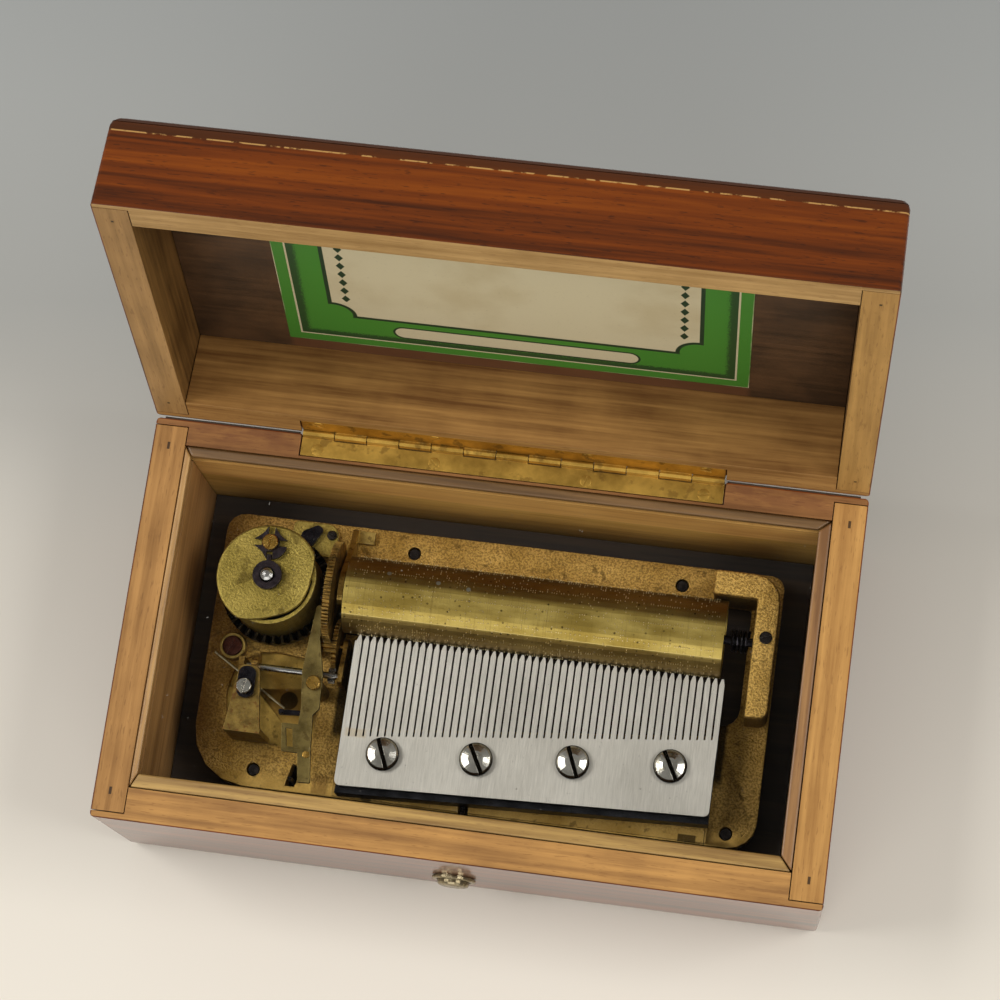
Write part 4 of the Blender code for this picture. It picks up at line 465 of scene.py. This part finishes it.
combUser = {"tones": ((194, 189, 176), (224, 219, 206)), "stain": (196, 172, 126),
            "side": (18, 17, 17), "edge": (236, 232, 220)}
paint = Paint("comb_steel")
x, y, z = paint.axes()
brush = paint.noise((4.6, 0.22, 1.0), detail=3, roughness=0.7)
broad = paint.noise(0.05, detail=4)
face = paint.blend(brush * 0.55 + broad * 0.45, 0.36, 0.64, combUser["tones"])
varnish = x.between(48.8, 53.4, 0.3) * y.between(26.2, 28.0, 0.15)
face = paint.mix(varnish * 0.4, face, combUser["stain"])
pits = paint.noise(0.9, detail=3, shift=(1, 5, 2)).rise(0.7, 0.74)
face = paint.mix(pits * 0.5, face, (112, 106, 96))
soft = paint.eased(0.1)
# Painted highlight: a bright rim on the comb's edges.
face = paint.mix(paint.worn(soft) * 0.5, face, combUser["edge"])
# Painted shade: the comb dark below its top face, on its sides and between its teeth.
face = paint.mix(z.rise(26.6, 27.5), combUser["side"], face)
dress(paint.surface(Base_Color=face, Metallic=1.0, Roughness=brush * 0.16 + 0.42,
                    Normal=paint.bump(brush, 0.4, 0.06, soft)), "comb")

cylinderUser = {"tones": ((154, 130, 60), (200, 176, 98)), "shade": (84, 54, 30),
                "dot": (52, 38, 18), "line": (228, 202, 128), "solder": (150, 152, 146),
                "spots": ((54.3, 60), (65.25, 67), (71.95, 72)), "axis": (57.3, 27.5),
                "arc": 0.1475}  # millimetres of its skin to a degree
paint = Paint("cylinder_brass")
x, y, z = paint.axes()
turned = (z - cylinderUser["axis"][1]).angleFrom(y - cylinderUser["axis"][0])
wear = paint.noise((0.06, 0.14, 0.14), detail=5)
skin = paint.blend(wear, 0.36, 0.62, cylinderUser["tones"])
skin = paint.mix(turned.between(22, 76, 4) * 0.7, skin, cylinderUser["shade"])
skin = paint.mix(turned.rise(130, 136) * 0.6, skin, cylinderUser["shade"])
rings = paint.noise((3.4, 0.05, 0.05), detail=3)
skin = paint.mix(rings.rise(0.56, 0.66) * 0.25, skin, (92, 72, 28))
cells = paint.node("ShaderNodeTexVoronoi", None, {"Vector": paint.place, "Scale": 0.62})
clumps = paint.noise(0.16, detail=3, shift=(9, 3, 1)).rise(0.42, 0.56)
skin = paint.mix(cells.fall(0.13, 0.17) * clumps * 0.8, skin, cylinderUser["dot"])
# Painted highlight: a thin bright line along the cylinder at 131 degrees.
skin = paint.mix(abs(turned - 131).fall(0.4, 0.8) * 0.8, skin, cylinderUser["line"])
arc = cylinderUser["arc"]
for along, where in cylinderUser["spots"]:
    solder = paint.spot(x, turned * arc, (along, where * arc), 0.5)
    skin = paint.mix(solder, skin, cylinderUser["solder"])
dress(paint.surface(Base_Color=skin, Metallic=1.0, Roughness=wear * 0.16 + 0.34,
                    Normal=paint.bump(rings, 0.5, 0.05, paint.eased(0.12))), "cylinder")
print("metals painted")


# New pieces

def newPiece(name, shape, made, body, sharp=34.0):
    bmesh.ops.recalc_face_normals(shape, faces=shape.faces)
    mesh = bpy.data.meshes.new(name)
    shape.to_mesh(mesh)
    shape.free()
    mesh.shade_smooth()
    mesh.set_sharp_from_angle(angle=math.radians(sharp))
    piece = bpy.data.objects.new(name, mesh)
    bpy.context.scene.collection.objects.link(piece)
    piece.data.materials.append(made)
    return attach(piece, body)


def slab(low, high, ease):  # a flat board between two corners, its edges eased
    shape = bmesh.new()
    bmesh.ops.create_cube(shape, size=1)
    size = at(*high) - at(*low)
    bmesh.ops.scale(shape, vec=size, verts=shape.verts)
    bmesh.ops.translate(shape, vec=(at(*low) + at(*high)) / 2, verts=shape.verts)
    bmesh.ops.bevel(shape, geom=shape.edges[:], offset=ease * mm, segments=2, profile=0.5,
                    affect="EDGES", material=-1)
    return shape


# Lid lining board with the printed card on it

liningUser = {"low": (7.25, 7.25, 61.05), "high": (147.75, 80.75, 62.95), "ease": 0.15,
              "tones": ((54, 36, 18), (88, 60, 34)), "bare": (112, 68, 38)}
lining = Paint("lining_wood", onLid=True)
x, y, z = lining.axes()
fibres, streaks, pores = woodGrain(lining, 0)
mottle = lining.noise(0.08, detail=5)
colour = lining.blend(fibres * 0.4 + mottle * 0.6, 0.4, 0.6, liningUser["tones"])
colour = lining.mix(y.rise(76.6, 77.4) * x.between(28, 127, 1.0) * 0.6, colour, liningUser["bare"])
lining.surface(Base_Color=colour, Roughness=fibres * 0.2 + 0.45,
               Normal=lining.bump(fibres, 0.2, 0.08))
shape = slab(liningUser["low"], liningUser["high"], liningUser["ease"])
bmesh.ops.transform(shape, matrix=openLid, verts=shape.verts)
newPiece("lid_lining", shape, lining.material, "lid")

labelUser = {"low": (27.8, 17.0, 60.85), "high": (127.0, 76.5, 61.1), "middle": (77.4, 46.75),
             "half": (49.6, 29.75), "ease": 0.05, "green": (64, 132, 40), "deep": (18, 52, 26),
             "cream": (210, 197, 160), "aged": (184, 164, 120), "fibre": (120, 104, 74),
             "panel": (38.8, 17.25), "corner": 5.0, "strip": (24.0, 7.4, 2.0), "diamonds": 35.6}


def labelPaint(user):  # a cream panel and strip in a stippled green border, the same on each side
    card = Paint("label_card", onLid=True)
    x, y, z = card.axes()
    u = abs(x - user["middle"][0])
    w = abs(y - user["middle"][1])
    inset = (user["half"][0] - u).lowest(user["half"][1] - w)
    stipple = card.noise(3.2, detail=1)
    fromCorner = ((u - user["panel"][0]) ** 2.0 + (w - user["panel"][1]) ** 2.0) ** 0.5
    panel = (user["panel"][0] - u).lowest(user["panel"][1] - w).lowest(fromCorner - user["corner"])
    dots = (inset.fall(3.0, 6.8) + (stipple - 0.5) * 0.9).rise(0.3, 0.7) * inset.rise(3.0, 3.1)
    ink = card.mix(dots * 0.85, user["green"], user["deep"])
    ink = card.mix(panel.rise(-0.95, -0.85), ink, user["deep"])
    reach, fromEdge, radius = user["strip"]
    strip = ((u - reach).highest(0.0) ** 2.0 + (user["half"][1] - w - fromEdge) ** 2.0) ** 0.5
    ink = card.mix(strip.fall(radius + 0.45, radius + 0.55), ink, user["deep"])
    diamond = (w.pingpong(1.7) / 1.5 + abs(u - user["diamonds"]) / 0.95).fall(0.9, 1.05)
    diamond = diamond * w.fall(11.4, 11.5)
    bare = (panel.rise(-0.05, 0.05) * (1 - diamond)).highest(inset.between(2.7, 3.1, 0.05))
    bare = bare.highest(strip.fall(radius - 0.05, radius + 0.05))
    fibre = card.noise(1.4, detail=4)
    age = card.noise(0.05, detail=4)
    paper = card.mix(age.rise(0.45, 0.75) * 0.5, user["cream"], user["aged"])
    paper = card.mix(fibre.rise(0.6, 0.75) * 0.14, paper, user["fibre"])
    colour = card.mix(bare, ink, paper)
    colour = card.mix(inset.fall(0.05, 0.3) * age.rise(0.4, 0.6), colour, user["cream"])
    return card.surface(Base_Color=colour, Roughness=0.5, Normal=card.bump(fibre, 0.06, 0.05))


shape = slab(labelUser["low"], labelUser["high"], labelUser["ease"])
bmesh.ops.transform(shape, matrix=openLid, verts=shape.verts)
label = newPiece("label_card", shape, labelPaint(labelUser), "lid")
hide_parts("lid_label")
print("lid lined")


# The bedplate with its cast roundings

castUser = {"rib top": 31.5, "rib end": 124.3, "end ease": 2.4, "top ease": 2.1, "plate top": 18.5,
            "plate ease": 0.35, "tones": ((178, 140, 66), (226, 186, 104)),
            "edge": (240, 208, 132), "smooth": ((140, 114, 54), (196, 162, 82)),
            "left_shade": (108, 76, 34), "grime": (62, 44, 20), "mark": (28, 20, 10),
            "recess_shade": (96, 60, 26), "deep": (104, 76, 34), "side": (70, 52, 26), "shade": (16, 12, 8)}


def castPaint(user):
    cast = Paint("cast_gold")
    x, y, z = cast.axes()
    patches = cast.noise(0.06, detail=5, roughness=0.65)
    colour = cast.blend(patches, 0.36, 0.62, user["tones"])
    inPocket = z.fall(17.1, 17.3)
    olive = cast.blend(cast.noise(0.16, detail=5), 0.38, 0.62, user["smooth"])
    colour = cast.mix(inPocket, colour, olive)
    # Painted reflection and shade: the plate's left band darker.
    colour = cast.mix(x.fall(14, 22) * z.fall(19, 20) * 0.7, colour, user["left_shade"])
    grime = cast.noise(0.5, detail=4, shift=(2, 8, 5)).rise(0.58, 0.68)
    colour = cast.mix(grime * 0.55, colour, user["grime"])
    # a hole in the pocket, and a bar, a line and a short slot in the front strip
    marks = (cast.spot(x, y, (33.8, 33.9), 2.0, 0.15) * inPocket).highest(
        x.between(122.7, 126.6, 0.1) * y.between(13.8, 15.4, 0.1)).highest(
        x.between(128.3, 128.5, 0.05) * y.between(13.7, 18.7, 0.1)).highest(
        cast.spot(x * 0.45, y, (24.4, 14.2), 0.55, 0.12) * z.rise(18.3, 18.4))
    colour = cast.mix(marks * 0.85, colour, user["mark"])
    # Painted shade in the recess right of the lever.
    recess_shade = x.between(41.9, 45.4, 0.4) * y.between(13.9, 18.2, 0.5)
    colour = cast.mix(recess_shade * 0.5, colour, user["recess_shade"])
    soft = cast.eased(0.2)
    rub = cast.worn(soft) * cast.noise(1.2, detail=3).rise(0.35, 0.55)
    colour = cast.mix(rub * 0.6, colour, user["edge"])
    grains = cast.noise(2.1, detail=3, roughness=0.65)
    sandy = (1 - inPocket) * y.rise(15, 18)
    colour = cast.mix(grains.fall(0.4, 0.58) * (sandy * 0.5 + 0.1), colour, user["deep"])
    # Painted shade: darker between the plate top and the rib top, on the rib's sides.
    colour = cast.mix(z.between(18.9, 29.5, 0.6) * 0.6, colour, user["side"])
    underComb = x.between(44.5, 130.6, 0.5) * y.between(27.0, 47.5, 1.5) * z.fall(18.6, 18.8)
    colour = cast.mix(underComb * 0.9, colour, user["shade"])
    return cast.surface(Base_Color=colour, Metallic=1.0, Roughness=patches * 0.14 + 0.45,
                        Normal=cast.bump(grains * (sandy * 0.8 + 0.2), 0.8, 0.35, soft))


casting = bmesh.new()
casting.from_mesh(nodes["bedplate"].data)
bmesh.ops.remove_doubles(casting, verts=casting.verts, dist=0.002 * mm)
bmesh.ops.dissolve_limit(casting, angle_limit=math.radians(0.6), verts=casting.verts,
                         edges=casting.edges)


def heights(edge):
    return [vert.co.z / mm for vert in edge.verts]


def easeEdges(shape, edges, offset, segments):
    bmesh.ops.bevel(shape, geom=edges, offset=offset * mm, segments=segments, profile=0.5,
                    affect="EDGES", clamp_overlap=True, material=-1)


def atRibEnd(vert):
    return abs((vert.co - caseShift).x / mm - castUser["rib end"]) < 0.05


ends = [edge for edge in casting.edges if all(atRibEnd(vert) for vert in edge.verts)
        and max(heights(edge)) - min(heights(edge)) > 10 and edge.is_convex]
easeEdges(casting, ends, castUser["end ease"], 5)
tops = [edge for edge in casting.edges if min(heights(edge)) > castUser["rib top"] - 0.05
        and edge.is_manifold and edge.calc_face_angle() > 1.0]
easeEdges(casting, tops, castUser["top ease"], 6)
rims = [edge for edge in casting.edges
        if max(abs(height - castUser["plate top"]) for height in heights(edge)) < 0.01
        and edge.is_manifold and edge.is_convex and edge.calc_face_angle() > 1.0]
easeEdges(casting, rims, castUser["plate ease"], 3)
print("casting:", len(ends), "rib ends,", len(tops), "rib tops,", len(rims), "plate edges eased")
bedplate = newPiece("bedplate_casting", casting, castPaint(castUser), "case",
                    sharp=40.0)
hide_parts("bedplate")


# Tune pins on the cylinder

pinUser = {"seed": 11, "count": 2400, "radius": 0.12, "height": 0.24, "cylinder": 8.45,
           "left": 46.6, "right": 126.6, "axis": (57.3, 27.5), "teeth": 52, "tunes": 3,
           "beats": 96, "bars": 12}


def tunePins(user):
    rng = random.Random(user["seed"])
    one = bmesh.new()
    bmesh.ops.create_cone(one, cap_ends=True, segments=5, radius1=user["radius"] * mm,
                          radius2=user["radius"] * 0.8 * mm, depth=(user["height"] + 0.1) * mm)
    middle = user["cylinder"] + user["height"] / 2 - 0.05
    bmesh.ops.translate(one, vec=(0, 0, middle * mm), verts=one.verts)
    pin = bpy.data.meshes.new("one_pin")
    one.to_mesh(pin)
    one.free()
    everyPin = bmesh.new()
    tracks = user["teeth"] * user["tunes"]
    beats = user["beats"]
    bar = beats // user["bars"]
    taken = set()
    while len(taken) < user["count"]:
        track = rng.randrange(tracks)  # about half of the pins stand at the start of a bar
        beat = rng.randrange(beats) if rng.random() < 0.5 else rng.randrange(user["bars"]) * bar
        if (track, beat) in taken:
            continue
        taken.add((track, beat))
        along = user["left"] + (user["right"] - user["left"]) * (track + 0.5) / tracks
        angle = (beat + rng.uniform(-0.2, 0.2)) / beats * 2 * math.pi
        before = len(everyPin.verts)
        everyPin.from_mesh(pin)
        everyPin.verts.ensure_lookup_table()
        place = Matrix.Translation(at(along, *user["axis"])) @ Matrix.Rotation(angle, 4, "X")
        bmesh.ops.transform(everyPin, matrix=place, verts=everyPin.verts[before:])
    bpy.data.meshes.remove(pin)
    return newPiece("tune_pins", everyPin, metals["pin"], "cylinder")


tunePins(pinUser)
print("pins set")


# Screws, rivets and studs

def slottedHead(radius, height, slotHalf, slotDepth, ease):  # top at z = 0, slot along x
    shape = bmesh.new()
    bmesh.ops.create_cone(shape, cap_ends=True, segments=28, radius1=radius * mm,
                          radius2=radius * mm, depth=height * mm)
    bmesh.ops.translate(shape, vec=(0, 0, -height / 2 * mm), verts=shape.verts)
    rim = [edge for edge in shape.edges if min(heights(edge)) > -0.001]
    easeEdges(shape, rim, ease, 4)
    for side in (-1, 1):
        bmesh.ops.bisect_plane(shape, geom=shape.verts[:] + shape.edges[:] + shape.faces[:],
                               plane_co=(0, side * slotHalf * mm, 0), plane_no=(0, 1, 0))
    shape.normal_update()
    strip = [face for face in shape.faces
             if abs(face.calc_center_median().y) < slotHalf * mm and face.normal.z > 0.3]
    sunk = bmesh.ops.extrude_face_region(shape, geom=strip)
    bmesh.ops.delete(shape, geom=strip, context="FACES_ONLY")
    lower = [item for item in sunk["geom"] if isinstance(item, bmesh.types.BMVert)]
    bmesh.ops.translate(shape, vec=(0, 0, -slotDepth * mm), verts=lower)
    return shape


def ringShape(inner, outer, height):  # a turned ring, its top at z = 0
    shape = bmesh.new()
    corners = [shape.verts.new((radius * mm, 0, level * mm)) for radius, level in (
        (inner, -height), (outer, -height), (outer, -height * 0.35), (outer - height * 0.35, 0),
        (inner + height * 0.2, 0), (inner, -height * 0.2))]
    outline = [shape.edges.new(pair) for pair in zip(corners, corners[1:] + corners[:1])]
    bmesh.ops.spin(shape, geom=corners + outline, axis=(0, 0, 1), cent=(0, 0, 0), steps=32,
                   angle=2 * math.pi, use_merge=True)
    return shape


def settle(shape, place, turn=0.0, under=False):
    if under:
        bmesh.ops.rotate(shape, matrix=Matrix.Rotation(math.pi, 3, "X"), verts=shape.verts)
    bmesh.ops.rotate(shape, matrix=Matrix.Rotation(math.radians(turn), 3, "Z"), verts=shape.verts)
    bmesh.ops.translate(shape, vec=at(*place), verts=shape.verts)
    return shape


hingeScrewUser = {"places": (36.0, 61.6, 94.6, 120.0), "y": 84.8, "turns": (28, -40, 75, 10),
                  "head": (1.3, 0.5, 0.15, 0.22, 0.12),  # as slottedHead takes them
                  "case top": 44.0, "lid top": 44.3}
for index, along in enumerate(hingeScrewUser["places"]):
    turn = hingeScrewUser["turns"][index]
    head = settle(slottedHead(*hingeScrewUser["head"]),
                  (along, hingeScrewUser["y"], hingeScrewUser["case top"]), turn)
    newPiece(f"hinge_screw_case_{index + 1}", head, metals["hinge"], "case")
    head = settle(slottedHead(*hingeScrewUser["head"]),
                  (along, hingeScrewUser["y"], hingeScrewUser["lid top"]), turn, under=True)
    bmesh.ops.transform(head, matrix=openLid, verts=head.verts)
    newPiece(f"hinge_screw_lid_{index + 1}", head, metals["hinge"], "lid")

plateTop = {name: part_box(name)[1].z / mm for name in ("click_plate", "stop_lever")}
screwUser = {
    "lug_screw": {"place": (20.0, 44.0, 21.1), "radius": 2.2, "height": 0.9, "turn": 70,
                  "metal": "red screw"},
    "bearing_screw": {"place": (136.6, 58.0, 31.9), "radius": 1.4, "height": 0.7, "turn": 20,
                      "metal": "dark screw"},
    "click_plate_screw": {"place": (38.1, 71.6, plateTop["click_plate"] + 0.5), "radius": 1.1,
                          "height": 0.6, "turn": -20, "metal": "dark screw"},
    "lever_rivet": {"place": (41.8, 20.4, plateTop["stop_lever"] + 0.15), "radius": 0.8,
                    "height": 0.3, "turn": 0, "metal": "gold screw"},
}
for name, user in screwUser.items():
    head = slottedHead(user["radius"], user["height"], user["radius"] * 0.13,
                       user["height"] * 0.45, user["height"] * 0.3)
    newPiece(name, settle(head, user["place"], user["turn"]), metals[user["metal"]], "case")

lugRingUser = {"inner": 2.25, "outer": 3.0, "height": 0.5, "place": (20.0, 44.0, 20.85)}
ring = ringShape(lugRingUser["inner"], lugRingUser["outer"], lugRingUser["height"])
newPiece("lug_ring", settle(ring, lugRingUser["place"]), metals["plain brass"], "case")
print("screws set")

# Dark strips that close the joint behind the back rim, one each side of the hinge, as painted shade
# for the shadow in the joint
stripUser = {"left": (1.8, 31.8), "right": (124.7, 153.2), "back": (88.02, 88.4),
             "height": (43.55, 43.95), "ease": 0.08}
for side in ("left", "right"):
    (start, end), (front, back), (low, high) = (stripUser[key] for key in (side, "back", "height"))
    shape = slab((start, front, low), (end, back, high), stripUser["ease"])
    newPiece(f"joint_shade_strip_{side}", shape, darkWood, "case")
print("joint closed")


# Floor, light and camera

# Painted light falloff: the floor is pale in front and greyer towards the back.
floorUser = {"stops": ((0.0, (230, 222, 208)), (0.35, (204, 198, 186)), (0.62, (168, 167, 161)),
                       (1.0, (150, 152, 150))), "size": 3.0}
floor = bmesh.new()
bmesh.ops.create_grid(floor, x_segments=1, y_segments=1, size=floorUser["size"])
bmesh.ops.translate(floor, vec=(0, 0, -0.1 * mm), verts=floor.verts)
floorMesh = bpy.data.meshes.new("floor")
floor.to_mesh(floorMesh)
floor.free()
floorPiece = bpy.data.objects.new("floor", floorMesh)
bpy.context.scene.collection.objects.link(floorPiece)
paint = Paint("pale_floor")
x, y, z = paint.axes()
floorMesh.materials.append(paint.surface(
    Base_Color=paint.ramp((y * 0.98 - x * 0.1).rise(-60, 260), floorUser["stops"]),
    Roughness=0.75))

lightUser = {
    "left softbox": {"place": (-0.8, 0.02, 1.0), "wide": 0.62, "deep": 0.46, "power": 7.2},
    "right softbox": {"place": (0.8, 0.02, 1.0), "wide": 0.62, "deep": 0.46, "power": 5.9},
    "front fill": {"place": (0.0, -1.1, 0.8), "wide": 1.5, "deep": 0.7, "power": 6.5},
}
for name, user in lightUser.items():
    lamp = bpy.data.lights.new(name, "AREA")
    lamp.shape = "RECTANGLE"
    lamp.size = user["wide"]
    lamp.size_y = user["deep"]
    lamp.energy = user["power"]
    holder = bpy.data.objects.new(name, lamp)
    bpy.context.scene.collection.objects.link(holder)
    holder.location = user["place"]
    towards = Vector((0, 0, 0.03)) - holder.location
    holder.rotation_euler = towards.to_track_quat("-Z", "Y").to_euler()

worldUser = {"colour": (0.9, 0.89, 0.87, 1), "light": 0.36}
world = bpy.data.worlds.new("studio")
bpy.context.scene.world = world
world.use_nodes = True
world.node_tree.nodes["Background"].inputs["Color"].default_value = worldUser["colour"]
world.node_tree.nodes["Background"].inputs["Strength"].default_value = worldUser["light"]

cameraUser = {"place": (0.065566, -0.128921, 0.661564),
              "right": (0.987847, 0.136863, -0.073664), "up": (-0.115745, 0.964085, 0.239045),
              "back": (0.103735, -0.227613, 0.96821), "lens": 107.07, "sensor": 36.0}
camera = bpy.data.objects.new("camera", bpy.data.cameras.new("camera"))
bpy.context.scene.collection.objects.link(camera)
columns = [Vector(cameraUser[key]) for key in ("right", "up", "back", "place")]
rows = [[column[row] for column in columns] for row in range(3)]
camera.matrix_world = Matrix(rows + [[0, 0, 0, 1]])
camera.data.lens = cameraUser["lens"]
camera.data.sensor_width = cameraUser["sensor"]
camera.data.clip_start = 0.01
bpy.context.scene.camera = camera
bpy.context.scene.view_settings.view_transform = "Standard"
print("stage set")
